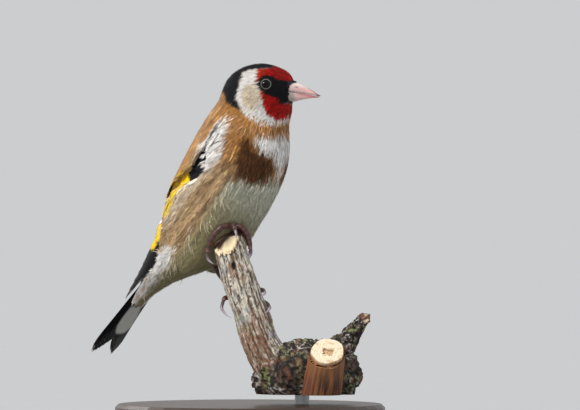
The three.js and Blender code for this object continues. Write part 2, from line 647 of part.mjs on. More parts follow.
function nostril(side) {
  const pit = new THREE.SphereGeometry(NOSTRIL.r, 10, 8);
  pit.scale(1.5, 1, 0.8);
  const place = headPoint(NOSTRIL.x, side * NOSTRIL.y, NOSTRIL.z);
  pit.rotateZ(SIDE_TURN);
  pit.translate(place.x, place.y, place.z);
  return toSolid(pit);
}

// The perch.
const perchTube = (stations, grow, options) =>
  tube(
    stations.map((s) => perchPoint(s.h, s.z, s.q)),
    stations.map((s) => s.r + grow),
    options,
  );

const woodBump = (t, angle) =>
  1 + 0.035 * Math.sin(3 * angle + 9 * t) + 0.03 * Math.sin(5 * angle - 14 * t + 1) + 0.025 * Math.sin(23 * t);

const cutNormal = ([h, z, q]) => perchPoint(h, z, q).normalize();

function branch(grow) {
  let made = perchTube(BRANCH, grow, { sides: 14, steps: 11, bump: woodBump });
  BREAK_CUTS.forEach((cut) => {
    const normal = cutNormal(cut.normal);
    const point = perchPoint(cut.h, cut.z, cut.q).addScaledVector(normal, grow);
    made = keepAbove(made, point, normal.negate());
  });
  return made;
}

// The knot: a swollen joint with coarse ridges of bark.
function knot(grow) {
  const [rows, sides] = [11, 22];
  const centre = perchPoint(KNOT.h, KNOT.z, KNOT.q);
  const out = (angle, turn) => {
    const [c, s] = [Math.cos(angle), Math.sin(angle)];
    const ridges = 1 + 0.05 * Math.sin(7 * turn + 4 * c) + 0.04 * Math.sin(11 * turn - 6 * c) * s;
    const lumps = 1 + 0.05 * Math.sin(3 * turn + 2) * Math.sin(2 * angle);
    const k = ridges * lumps;
    const size = [KNOT.halfH + grow, KNOT.halfZ + grow, KNOT.halfQ + grow];
    return perchPoint(
      KNOT.h + k * size[0] * s * Math.cos(turn),
      KNOT.z + k * size[1] * c,
      KNOT.q + k * size[2] * s * Math.sin(turn),
    );
  };
  const rings = Array.from({ length: rows }, (_, k) => {
    const angle = (Math.PI * (k + 1)) / (rows + 1);
    return Array.from({ length: sides }, (_, j) => out(angle, (2 * Math.PI * j) / sides));
  });
  const top = centre.clone().addScaledVector(UP, KNOT.halfZ + grow);
  const bottom = centre.clone().addScaledVector(UP, -KNOT.halfZ - grow);
  return skinOf(rings, top, bottom);
}

function stub(grow) {
  const run = perchPoint(...STUB.run).normalize();
  const cut = perchPoint(...STUB.cut).normalize();
  const face = perchPoint(...STUB.face);
  const foot = face.clone().addScaledVector(run, -STUB.length);
  const past = face.clone().addScaledVector(run, STUB.r);
  const made = tube([foot, past], [STUB.r * STUB_SPREAD + grow, STUB.r + grow], {
    sides: 18,
    steps: 8,
    bump: (t, angle) => 1 + 0.03 * Math.sin(2 * angle + 5 * t) + 0.025 * Math.sin(5 * angle),
  });
  return keepAbove(made, face.addScaledVector(cut, grow), cut.clone().negate());
}

const twigBump = (t, angle) => 1 + 0.09 * Math.sin(4 * angle + 11 * t) + 0.07 * Math.sin(7 * angle - 17 * t);
const twig = (grow) => perchTube(TWIG, grow, { sides: 12, steps: 10, bump: twigBump });

const flatFoot = (solid) => largest(keepAbove(solid, new THREE.Vector3(0, 0, PERCH_FOOT), UP));

// Legs: the feathered thigh, then the shank and four toes in one piece, and a claw on each toe.
const atPerch = (points) => points.map((p) => perchPoint(...p));

const thigh = (leg, grow) =>
  tube(atPerch(leg.thigh), [THIGH_RADIUS + grow, THIGH_RADIUS * 0.8 + grow, THIGH_RADIUS * 0.42 + grow], {
    sides: 10,
    steps: 6,
  });

function legAndToes(leg) {
  const shank = tube(atPerch(leg.shank), [SHANK_RADIUS, SHANK_RADIUS * 0.9, SHANK_RADIUS], { steps: 6 });
  const toes = Object.values(leg.toes).map((points) =>
    tube(atPerch(points), [TOE_RADIUS, TOE_RADIUS * 1.05, TOE_RADIUS * TOE_SHRINK], { sides: 6, steps: 6 }),
  );
  const ball = new THREE.SphereGeometry(TOE_RADIUS * 1.5, 8, 6);
  const place = perchPoint(...leg.shank.at(-1));
  ball.translate(place.x, place.y, place.z);
  return joined([shank, ...toes, toSolid(ball)]);
}

const claw = (points) => tube(atPerch(points), [CLAW_RADIUS, CLAW_RADIUS * 0.75, 0.1], { sides: 6, steps: 6 });

// The stand.
function base() {
  const profile = [
    [0, 0],
    [BASE_RADIUS, 0],
    [BASE_RADIUS, BASE_HEIGHT - BASE_EDGE],
    [BASE_RADIUS - BASE_EDGE, BASE_HEIGHT],
    [0, BASE_HEIGHT],
  ];
  const disc = new THREE.LatheGeometry(
    profile.map(([x, y]) => new THREE.Vector2(x, y)),
    BASE_SIDES,
  );
  disc.rotateX(Math.PI / 2);
  return toSolid(disc);
}

function rod() {
  const [low, high] = [BASE_HEIGHT + GAP, PERCH_FOOT - GAP];
  const made = new THREE.CylinderGeometry(ROD_RADIUS, ROD_RADIUS, high - low, 20);
  made.rotateX(Math.PI / 2);
  const place = perchPoint(ROD_PLACE.h, (low + high) / 2, ROD_PLACE.q);
  made.translate(place.x, place.y, place.z);
  return toSolid(made);
}

// The whole, node by node.
const bird = new THREE.Group();
const perch = new THREE.Group();
const stand = new THREE.Group();

function place(group, name, solid, material) {
  const mesh = new THREE.Mesh(toGeometry(solid), material);
  mesh.name = name;
  group.add(mesh);
}

const trunk = trunkSolid(0);
const pockets = wingPocket(1).add(wingPocket(-1));
const lids = joinedPair(lidRing);
const sockets = joinedPair((side) => eyeBall(side, GAP));
function joinedPair(make) {
  return make(1).add(make(-1));
}

place(bird, "head", largest(between(headSolid(0), HEAD_CUT, null).add(lids).subtract(sockets)), FINISHES.headPlumage);
place(bird, "neck", largest(between(trunk, NECK_CUT, HEAD_CUT).subtract(pockets)), FINISHES.plumage);
const thighs = Object.values(LEGS).map((leg) => thigh(leg, 0)).reduce((a, b) => a.add(b));
const torso = between(trunk, RUMP_CUT, NECK_CUT).add(thighs).subtract(pockets).subtract(branch(GAP));
place(bird, "torso", largest(torso), FINISHES.plumage);
place(bird, "tail_coverts", largest(between(trunk, null, RUMP_CUT).subtract(pockets)), FINISHES.plumage);
place(bird, "tail", tail(), FINISHES.tail);

const nostrils = joinedPair(nostril);
const upperBill = mandible(BILL.culmen, BILL.tip.upper, GAP / 2, BILL.fullness.upper);
const lowerBill = mandible(BILL.gonys, BILL.tip.lower, -GAP / 2, BILL.fullness.lower);
place(bird, "bill_upper", clearOfBody(upperBill).subtract(nostrils), FINISHES.bill);
place(bird, "bill_lower", clearOfBody(lowerBill), FINISHES.bill);

const branchClear = branch(GAP);
const knotClear = knot(GAP);
const stubClear = stub(GAP);
for (const [name, side] of [["left", 1], ["right", -1]]) {
  const leg = LEGS[name];
  place(bird, `wing_${name}`, wing(side), FINISHES.wing);
  place(bird, `eye_${name}`, eyeBall(side, 0), FINISHES.eye);
  const clearLeg = legAndToes(leg).subtract(branchClear).subtract(thigh(leg, GAP));
  place(bird, `leg_${name}`, clearOfBody(clearLeg), FINISHES.leg);
  for (const [toe, points] of Object.entries(leg.claws)) {
    place(bird, `claw_${name}_${toe}`, largest(claw(points).subtract(branchClear)), FINISHES.claw);
  }
}

place(perch, "perch_branch", largest(branch(0).subtract(knotClear)), FINISHES.wood);
place(perch, "perch_knot", flatFoot(knot(0).subtract(stubClear)), FINISHES.bark);
place(perch, "perch_stub", flatFoot(stub(0)), FINISHES.cutWood);
place(perch, "perch_twig", largest(twig(0).subtract(knotClear).subtract(stubClear)), FINISHES.bark);
place(stand, "stand_base", base(), FINISHES.stand);
place(stand, "stand_rod", rod(), FINISHES.rod);

const goldfinch = new THREE.Group();
goldfinch.add(bird, perch, stand);
export default goldfinch;
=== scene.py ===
# %% [markdown]
# A European goldfinch, life size, on the broken branch that it grips.
#
# The shapes that carry the model were made as solids and come in as a fixed frame. Everything here is the
# dress: skin and feathers over the body, the wing and tail feathers, the head's small parts, the bark and
# the light. The frame is in metres. Lengths of the bird are easier to read in millimetres, so they are
# written that way below, and one helper turns them into metres when a mesh is made.

# %% Load the frame
import math
import bpy
import numpy as np
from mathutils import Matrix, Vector, noise


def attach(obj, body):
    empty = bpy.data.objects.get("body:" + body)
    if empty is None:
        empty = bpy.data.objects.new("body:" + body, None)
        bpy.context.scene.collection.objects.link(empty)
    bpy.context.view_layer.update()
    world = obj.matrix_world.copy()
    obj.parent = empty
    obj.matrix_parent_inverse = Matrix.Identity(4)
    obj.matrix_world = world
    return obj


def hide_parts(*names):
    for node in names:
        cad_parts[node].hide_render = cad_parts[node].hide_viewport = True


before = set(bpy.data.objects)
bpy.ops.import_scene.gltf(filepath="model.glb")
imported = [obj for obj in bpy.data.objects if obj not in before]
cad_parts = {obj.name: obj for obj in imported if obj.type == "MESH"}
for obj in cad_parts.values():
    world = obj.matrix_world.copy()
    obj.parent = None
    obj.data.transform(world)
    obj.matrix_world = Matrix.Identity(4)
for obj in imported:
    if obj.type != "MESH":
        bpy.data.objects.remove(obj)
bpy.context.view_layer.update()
MM = 0.001
print("nodes in the frame:", len(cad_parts))

# %% [markdown]
# The bird's body faces +X and its left side is +Y. Its head is turned a little, and so is the perch: both
# lie along an upright plane that is turned from the body's own. A small function for each plane lets the
# rest of the file name places in the terms that suit the part.

# %% Planes of the body, the head and the perch
SIDE_TURN = math.radians(30)
RIGHT = np.array([math.cos(SIDE_TURN), math.sin(SIDE_TURN), 0.0])
FRONT = np.array([math.sin(SIDE_TURN), -math.cos(SIDE_TURN), 0.0])
UP = np.array([0.0, 0.0, 1.0])
HEAD_CENTRE = np.array([2.9, 0.0, 118.8])


def head_point(x, y, z):
    """x forward along the bill, y to the bird's left, z up, from the middle of the head."""
    x, y, z = np.broadcast_arrays(np.asarray(x, float), y, z)
    return HEAD_CENTRE + x[..., None] * RIGHT - y[..., None] * FRONT + z[..., None] * UP


def perch_point(h, z, q):
    """h along the perch's plane, z up, q out of the plane towards the side that is looked at."""
    h, z, q = np.broadcast_arrays(np.asarray(h, float), z, q)
    return h[..., None] * RIGHT + q[..., None] * FRONT + z[..., None] * UP


def unit(v):
    return v / np.maximum(np.linalg.norm(v, axis=-1, keepdims=True), 1e-9)


def ease(low, high, value):
    """0 below low, 1 above high, and a smooth way between. With low above high it falls."""
    t = np.clip((value - low) / (high - low), 0, 1)
    return t * t * (3 - 2 * t)


def smooth_row(row, place):
    """Values at equal steps, joined by a smooth curve, read at the given places."""
    row = np.asarray(row, float)
    place = np.asarray(place, float)
    i = np.clip(np.floor(place).astype(int), 0, len(row) - 2)
    f = np.clip(place - i, 0, 1).reshape(place.shape + (1,) * (row.ndim - 1))
    p0, p1, p2, p3 = (row[np.clip(i + k, 0, len(row) - 1)] for k in (-1, 0, 1, 2))
    return p1 + 0.5 * f * (p2 - p0 + f * (2 * p0 - 5 * p1 + 4 * p2 - p3 + f * (3 * (p1 - p2) + p3 - p0)))

# %% [markdown]
# The body is a set of soft lumps that melt into each other: a bent line of changing thickness for the
# trunk, four balls for the head and a pad for the loose flank feathers. Such a shape could be sculpted,
# but a distance function does more for a bird: it tells, for any point, how far it is from the surface of
# the plumage, and every feather can be laid at the depth that it needs.

# %% The body's surface as a distance
SPINE = np.array([
    # x, z, radius, width against depth
    (-47.4, 42.4, 1.3, 1.8), (-43.8, 47.6, 3.0, 1.45), (-39.6, 52.6, 5.0, 1.2), (-34.9, 57.2, 7.1, 1.06),
    (-29.3, 62.4, 10.2, 0.98), (-23.3, 68.3, 13.9, 0.96), (-17.2, 75.4, 16.6, 0.96),
    (-11.7, 82.8, 17.8, 0.96), (-7.1, 90.2, 17.9, 0.96), (-3.4, 97.5, 17.2, 0.96), (-0.8, 105.6, 14.5, 0.96),
    (1.2, 112.0, 11.8, 0.95), (2.6, 117.6, 10.2, 0.93),
])
FAR_AWAY = 1e9  # millimetres, further than anything here
SPINE_STEPS = 30
BODY_BLEND = 4.0
HEAD_NARROWING = 0.93
FACE_TAPER = (4.5, 12.5, 0.28)  # from and to along the bill, and by how much the face narrows there
HEAD_BLEND = 3.2
HEAD_LUMPS = [(3.2, 0.1, 9.3), (-3.0, -1.4, 9.1), (8.0, 1.6, 5.6), (4.6, -5.2, 7.6)]  # x, z, radius
FLANK = {"x": -12.2, "y": 10.4, "z": 75.0, "along": 24.0, "across": 10.0, "deep": 6.2}
FLANK_BLEND = 2.5
BODY_LEAN = math.radians(26.9)
BODY_AXIS = np.array([math.sin(BODY_LEAN), 0.0, math.cos(BODY_LEAN)])

spine_line = smooth_row(SPINE, np.linspace(0, len(SPINE) - 1, SPINE_STEPS + 1))


def smooth_min(a, b, k):
    h = np.maximum(k - np.abs(a - b), 0) / k
    return np.minimum(a, b) - h * h * k / 4


def body_distance(p):
    """Distance in millimetres from the plumage's outer surface, less than zero inside."""
    trunk = np.full(p.shape[:-1], FAR_AWAY)
    for a, b in zip(spine_line[:-1], spine_line[1:]):
        run = b[:2] - a[:2]
        t = np.clip(((p[..., 0] - a[0]) * run[0] + (p[..., 2] - a[1]) * run[1]) / (run @ run), 0, 1)
        across = np.sqrt(
            (p[..., 0] - a[0] - t * run[0]) ** 2
            + (p[..., 1] / (a[3] + (b[3] - a[3]) * t)) ** 2
            + (p[..., 2] - a[1] - t * run[1]) ** 2
        )
        trunk = np.minimum(trunk, across - a[2] - (b[2] - a[2]) * t)
    d = p - HEAD_CENTRE
    x, z = d @ RIGHT, d[..., 2]
    y = d @ FRONT / (HEAD_NARROWING - FACE_TAPER[2] * ease(FACE_TAPER[0], FACE_TAPER[1], x))
    head = None
    for lump_x, lump_z, r in HEAD_LUMPS:
        ball = np.sqrt((x - lump_x) ** 2 + y**2 + (z - lump_z) ** 2) - r
        head = ball if head is None else smooth_min(head, ball, HEAD_BLEND)
    body = smooth_min(trunk, head, BODY_BLEND)
    fx, fy, fz = p[..., 0] - FLANK["x"], np.abs(p[..., 1]) - FLANK["y"], p[..., 2] - FLANK["z"]
    along = fx * BODY_AXIS[0] + fz * BODY_AXIS[2]
    across = fx * BODY_AXIS[2] - fz * BODY_AXIS[0]
    k = np.sqrt((along / FLANK["along"]) ** 2 + (across / FLANK["across"]) ** 2 + (fy / FLANK["deep"]) ** 2)
    return smooth_min(body, (k - 1) * FLANK["deep"], FLANK_BLEND)


def body_normal(p):
    step = 0.15
    here = body_distance(p)
    return unit(np.stack([body_distance(p + step * axis) - here for axis in np.eye(3)], axis=-1))


def laid_at(p, depth):
    """Moves points along the surface's normal until they lie at a given height over the plumage."""
    for _ in range(2):
        p = p - body_normal(p) * (body_distance(p) - depth)[..., None]
    return p

# %% [markdown]
# Places on the body are told by two numbers: run, in millimetres along its middle line from the end of the
# tail coverts, and turn, in degrees round it from the middle of the back, 90 on the flank and 180 on the
# belly. The same numbers serve for the unwrap of the skin, for the markings and for the length of feathers.

# %% Run and turn on the body
FINE_STEPS = 241
AT_ONCE = 4000  # points that are compared with the line in one go
fine_spine = smooth_row(SPINE, np.linspace(0, len(SPINE) - 1, FINE_STEPS))
fine_run = np.concatenate([[0], np.cumsum(np.linalg.norm(np.diff(fine_spine[:, :2], axis=0), axis=1))])
fine_way = np.gradient(fine_spine[:, :2], axis=0)
fine_way /= np.linalg.norm(fine_way, axis=1, keepdims=True)


def run_and_turn(p):
    run = np.empty(len(p))
    turn = np.empty(len(p))
    for first in range(0, len(p), AT_ONCE):
        some = slice(first, first + AT_ONCE)
        q = p[some]
        far = (q[:, None, 0] - fine_spine[None, :, 0]) ** 2 + (q[:, None, 2] - fine_spine[None, :, 1]) ** 2
        i = far.argmin(axis=1)
        back = -(q[:, 0] - fine_spine[i, 0]) * fine_way[i, 1] + (q[:, 2] - fine_spine[i, 1]) * fine_way[i, 0]
        run[some] = fine_run[i]
        turn[some] = np.degrees(np.arctan2(np.abs(q[:, 1]), back))
    return run, turn


def head_place(p):
    """x, y and z of points as head_point takes them."""
    d = p - HEAD_CENTRE
    return d @ RIGHT, -(d @ FRONT), d[..., 2]


print("length of the body's middle line:", round(float(fine_run[-1]), 1), "mm")

# %% [markdown]
# Under the feathers lies a thin skin. It could be left out, but gaps between feathers would then show
# through the bird. It is spun from rays: each ring of rays starts on the middle line and stops where the
# distance says that the plumage ends, then sinks by the depth of the coat, which is least on the face.
# The rings and their steps are the unwrap of the skin as well.

# %% Skin: rings of rays
AROUND = 112
TRUNK_RINGS = 120
CAP_RINGS = 30
TAIL_RINGS = 8
COAT_DEPTH = 0.95  # millimetres, on the body
FACE_DEPTH = 0.35
FAR_RAY = 27.0
HALVINGS = 18  # each one halves the doubt about where a ray leaves the plumage


def ray_rings():
    """Where each ring of rays starts, the way of the line there, and the rays' angle to that way."""
    line = smooth_row(SPINE, np.linspace(0, len(SPINE) - 1, TRUNK_RINGS))
    way = np.gradient(line[:, :2], axis=0)
    way /= np.linalg.norm(way, axis=1, keepdims=True)
    ring = np.repeat(np.arange(len(line)), [TAIL_RINGS + 1] + [1] * (len(line) - 2) + [CAP_RINGS + 1])
    tail_polar = 90 + 88 * np.arange(TAIL_RINGS, 0, -1) / TAIL_RINGS
    cap_polar = 90 - 89 * np.arange(1, CAP_RINGS + 1) / CAP_RINGS
    polar = np.concatenate([tail_polar, np.full(len(line), 90.0), cap_polar])
    return line[ring], way[ring], np.radians(polar)


def in_middle_plane(x, z):
    return np.stack([x, np.zeros(len(x)), z], axis=1)


def outer_surface():
    centre, axis, polar = ray_rings()
    turn = np.linspace(0, 2 * np.pi, AROUND, endpoint=False)
    ahead = in_middle_plane(axis[:, 0], axis[:, 1])[:, None]
    back = in_middle_plane(-axis[:, 1], axis[:, 0])[:, None]
    start = in_middle_plane(centre[:, 0], centre[:, 1])[:, None]
    across = back * np.cos(turn)[None, :, None] + np.array([0, 1.0, 0]) * np.sin(turn)[None, :, None]
    ray = ahead * np.cos(polar)[:, None, None] + across * np.sin(polar)[:, None, None]
    low, high = np.zeros(ray.shape[:2]), np.full(ray.shape[:2], FAR_RAY)
    for _ in range(HALVINGS):
        middle = (low + high) / 2
        inside = body_distance(start + ray * middle[..., None]) < 0
        low, high = np.where(inside, middle, low), np.where(inside, high, middle)
    return start + ray * low[..., None]


plumage_grid = outer_surface()
RINGS = len(plumage_grid)
print("skin rings:", RINGS, "of", AROUND, "points")

# %% [markdown]
# The folded wing lies in a hollow of the body, on a curved bed. A place on the bed is told by a, in
# millimetres from the wrist towards the wing's tips, by an angle round the body and by its height. The
# plumage leaves only a window of the wing bare, wide over the flight feathers and narrow at the shoulder.

# %% The wing's bed
WING_START = np.array([-13.1, 0.0, 114.8])
WING_AXIS = -BODY_AXIS
WING_BACK = np.array([-BODY_AXIS[2], 0.0, BODY_AXIS[0]])
WING_STEP = 13.0
BED_DEPTH = [14.5, 17.4, 17.3, 15.3, 11.2, 6.4, 3.2]
BED_SINK = [2.6, 3.2, 3.4, 2.6, 1.3, 0.3, -1.7]
BED_SIDE = [11.6, 12.7, 12.6, 11.2, 9.0, 6.6, 5.2]
BED_END = WING_STEP * (len(BED_SIDE) - 1)
WINDOW = np.array([
    # a, upper and lower angle
    (12.5, 63, 69), (17, 61, 77), (21, 58, 81), (24, 52, 74), (27, 45, 64), (30, 36, 52), (35, 27, 44),
    (40, 14, 44), (46, 0, 55), (53, 0, 69), (60, 0, 84), (67, 0, 98), (80, 0, 98),
])


def bed_rows(a):
    return [smooth_row(row, np.asarray(a, float) / WING_STEP) for row in (BED_DEPTH, BED_SINK, BED_SIDE)]


def wing_point(a, angle, h, side):
    a, angle, h = np.broadcast_arrays(np.asarray(a, float), angle, h)
    depth, sink, width = bed_rows(a)
    turn = np.radians(angle)
    p = WING_START + a[..., None] * WING_AXIS
    p = p + (-depth + (depth - sink + h) * np.cos(turn))[..., None] * WING_BACK
    p[..., 1] = side * (width + h) * np.sin(turn)
    return p


def wing_place(p):
    """The bed's a, angle and height for points on either side of the body."""
    d = p - WING_START
    a, back, y = d @ WING_AXIS, d @ WING_BACK, np.abs(p[..., 1])
    depth, sink, width = bed_rows(np.clip(a, 0, BED_END))
    h = np.zeros(a.shape)
    for _ in range(6):
        u, v = (back + depth) / (depth - sink + h), y / (width + h)
        h = h + (np.hypot(u, v) - 1) * (0.5 * (depth - sink + width) + h)
    return a, np.degrees(np.arctan2(v, u)), h


def window_share(p, margin=0.0):
    """1 where the wing lies bare, 0 where plumage covers it or there is no wing."""
    a, angle, _ = wing_place(p)
    upper = np.interp(a, WINDOW[:, 0], WINDOW[:, 1]) - margin
    lower = np.interp(a, WINDOW[:, 0], WINDOW[:, 2]) + margin
    return (a > WINDOW[0, 0]) & (a < WINDOW[-1, 0] + 2) & (angle > upper) & (angle < lower)

# %% [markdown]
# Markings are painted by place, not by picture. Each patch has a soft outline of a few points. Those of the
# head are drawn on its side, in the head's own millimetres. Those of the body are drawn as the bird looks
# from its right, in the perch's plane, and the left side is the mirror image. The same rule colours the skin
# and the feathers, and a little noise on each feather's place frays the edges as the real ones are.

# %% Colours and patches
def colour(text):
    """A colour as the eye sees it, such as c88c5a, as the linear light that the renderer mixes."""
    c = np.array([int(text[i:i + 2], 16) for i in (0, 2, 4)]) / 255
    return np.where(c < 0.04045, c / 12.92, ((c + 0.055) / 1.055) ** 2.4)


BLACK = colour("0c0b10")
RED = colour("ae0d05")
EDGE_RED = colour("c9340c")
WHITE = colour("f6f3ef")
CREAM = colour("e0cdb0")
NECK_TAN = colour("b07c42")
RUST = colour("b08050")
CHESTNUT = colour("4a2a12")
MANTLE = colour("bb9062")
MANTLE_EDGE = colour("d09a5c")
FLANK_TAN = colour("b39670")
FLANK_GREY = colour("d9c9b5")
FLANK_DARK = colour("64432a")
BELLY = colour("c6c5b4")
OLIVE_PAINTED_SHADE = colour("99906a")
STREAK_BLACK = colour("20222c")
CROWN_BLACK = colour("14151d")
DOWN = colour("eadcc6")
YELLOW = colour("f2cc00")

# on the side of the head, in its own millimetres
RED_BROW = [
    (-0.5, 8.1), (2.5, 8.3), (6.2, 9.0), (9, 12), (17, 12), (17, 3.4), (10.9, 3.6), (6.5, 3.8), (3.2, 5.0),
    (0.9, 3.3), (-1.2, 3.0),
]
RED_CHIN = [
    (0.4, 0.2), (3.5, -1.0), (6.8, -1.9), (7.8, -4.2), (9, -4.6), (12.4, -4.6), (17, -5), (14, -10.6),
    (10.3, -10.9), (6.8, -11.2), (3.2, -9.2), (1.6, -5.2), (0.6, -2.2),
]
LORES = [
    (-0.5, 2.8), (0.6, 4.6), (3.3, 5.6), (6.2, 4.4), (11, 4.0), (13.2, 3.6), (17, 2), (17, -5), (12, -4.5),
    (9, -4.8), (7.6, -4.8), (6.8, -2.7), (3.5, -1.7), (1.2, -0.9), (-0.3, 1.0),
]
CROWN = [
    (6.4, 8.7), (2.5, 8.2), (-0.5, 8.0), (-3.5, 7.7), (-5.9, 6.6), (-6.6, 3.2), (-7.8, -1.0), (-8.2, -3.4),
    (-6.6, -5.8), (-6.3, -7.0), (-8.3, -6.5), (-11.0, -4.8), (-12.5, -0.6), (-24, 2), (-16, 20), (7, 18),
]
CHEEK = [
    (-6.7, 3.2), (-5.9, 7.2), (-0.4, 8.6), (18, 10), (18, -12), (10.4, -12.3), (4.6, -13.4), (0.8, -12.9),
    (-3.1, -10.7), (-6.5, -6.6), (-8.4, -3.4), (-8.2, -1.0),
]
# on the right side of the body, in the perch's plane
CHESTNUT_PATCH = [
    (-3.7, 101.5), (-0.5, 99.7), (2.3, 96.4), (5.1, 94.4), (8.2, 93.7), (9.2, 91.7), (8.7, 88.3),
    (6.8, 85.9), (3.3, 84.9), (-0.5, 84.9), (-3.8, 86.3), (-5.6, 89.0), (-6.3, 92.1), (-5.6, 96.1),
    (-4.6, 99.2),
]
BREAST_WHITE = [
    (1.8, 101.2), (5.1, 100.7), (9.1, 100.7), (12.7, 101.2), (16.7, 100.7), (16.7, 79.4), (10.4, 83.5),
    (9.4, 86.0), (9.8, 89.5), (9.8, 92.1), (8.6, 94.2), (5.1, 95.0), (3.0, 96.9), (1.8, 98.9),
]
RUST_BAND = [
    (-8.1, 106.8), (-3.0, 106.3), (1.0, 105.8), (5.1, 105.0), (9.1, 105.0), (16.7, 106.3), (16.7, 101.2),
    (10.1, 100.7), (5.1, 101.0), (1.8, 101.7), (0.0, 100.7), (-3.0, 101.7), (-6.1, 101.2), (-8.1, 103.7),
]
BELLY_PATCH = [
    (-6.3, 86.3), (-4.1, 85.7), (0.0, 84.2), (6.6, 85.2), (9.6, 85.5), (16.7, 83.5), (16.7, 40.0),
    (-50, 30), (-42, 44), (-30.5, 55.5), (-27.0, 60.0), (-24.8, 62.5), (-22.3, 65.2), (-18.8, 70.3),
    (-15.2, 75.9), (-11.2, 81.4), (-8.6, 84.5),
]
FLANK_PALE = [
    (-23.3, 86.0), (-20.3, 87.5), (-16.5, 89.8), (-13.7, 91.1), (-15.2, 88.0), (-19.3, 85.0), (-22.3, 81.4),
    (-24.8, 77.4), (-27.4, 72.8), (-30.4, 68.8), (-30.9, 72.3), (-29.4, 77.4), (-27.4, 81.4), (-25.4, 84.5),
]
STREAKY = [
    (-9.6, 108.6), (-13.7, 105.8), (-16.0, 101.7), (-19.0, 98.2), (-19.2, 95.6), (-18.9, 92.5),
    (-17.9, 89.3), (-13.9, 92.3), (-11.7, 95.6), (-10.6, 99.2), (-10.1, 102.7), (-8.9, 105.8),
]
RUMP_SIDE = [
    (-34.0, 62.1), (-30.8, 63.0), (-27.8, 62.1), (-29.0, 57.3), (-31.9, 53.8), (-34.9, 49.7), (-39.0, 44.9),
    (-46.7, 35.5), (-55.0, 35.5), (-45.0, 44.9), (-39.0, 53.2), (-35.8, 59.1),
]
# where yellow webs show in the wing
YELLOW_BAR = [
    (-22.0, 91.4), (-21.2, 87.2), (-23.5, 85.6), (-25.4, 83.7), (-27.1, 81.0), (-28.4, 76.9), (-30.3, 73.6),
    (-31.7, 74.5), (-30.8, 77.5), (-29.9, 80.4), (-28.7, 84.0), (-27.2, 86.3), (-25.1, 88.7),
]
YELLOW_COMB = [
    (-30.2, 73.9), (-30.9, 71.0), (-32.1, 66.8), (-34.6, 62.7), (-35.8, 63.3), (-34.9, 66.8), (-33.7, 70.4),
    (-31.9, 73.6),
]


def patch(outline, x, y, soft):
    """1 inside an outline, 0 outside, with an edge of the given softness."""
    corners = np.array(outline, float)
    near = np.full(x.shape, FAR_AWAY)
    inside = np.zeros(x.shape, bool)
    for (ax, ay), (bx, by) in zip(corners, np.roll(corners, -1, axis=0)):
        t = np.clip(((x - ax) * (bx - ax) + (y - ay) * (by - ay)) / ((bx - ax) ** 2 + (by - ay) ** 2), 0, 1)
        near = np.minimum(near, np.hypot(x - ax - t * (bx - ax), y - ay - t * (by - ay)))
        crosses = (ay > y) != (by > y)
        at = ax + (y - ay) * (bx - ax) / np.where(by == ay, 1e-9, by - ay)
        inside ^= crosses & (x < at)
    return ease(-soft, soft, np.where(inside, near, -near))


def blend(base, over, share):
    return base + (over - base) * np.asarray(share)[..., None]


def waves(p, scale, seed):
    """Smooth cheap noise in -1..1, made of a few crossed waves."""
    rng = np.random.RandomState(seed)
    total = np.zeros(p.shape[:-1])
    for _ in range(6):
        total += np.sin(p @ (rng.normal(size=3) / scale) * 2.2 + rng.uniform(0, 6.28))
    return total / 3.2


def side_place(p):
    """Where a point, or its mirror image on the right side, lies in the perch's plane."""
    return p[..., 0] * RIGHT[0] - np.abs(p[..., 1]) * RIGHT[1], p[..., 2]


DEGREE_WIDTH = 0.26  # millimetres round the body for each degree of turn
STREAK_SLOPE = 0.1
STREAK_LENGTH = 9


def streaks(run, turn, seed, fine=0.9):
    """Noise that is drawn out along the feathers, as their barbs clump, about -1..1."""
    across = turn * DEGREE_WIDTH - STREAK_SLOPE * run
    drawn = np.stack([across / fine, run / STREAK_LENGTH, np.zeros(run.shape)], axis=-1)
    return waves(drawn, 1.0, seed)


print("outlines drawn, and colours mixed, such as the red of the face:", RED.round(3))
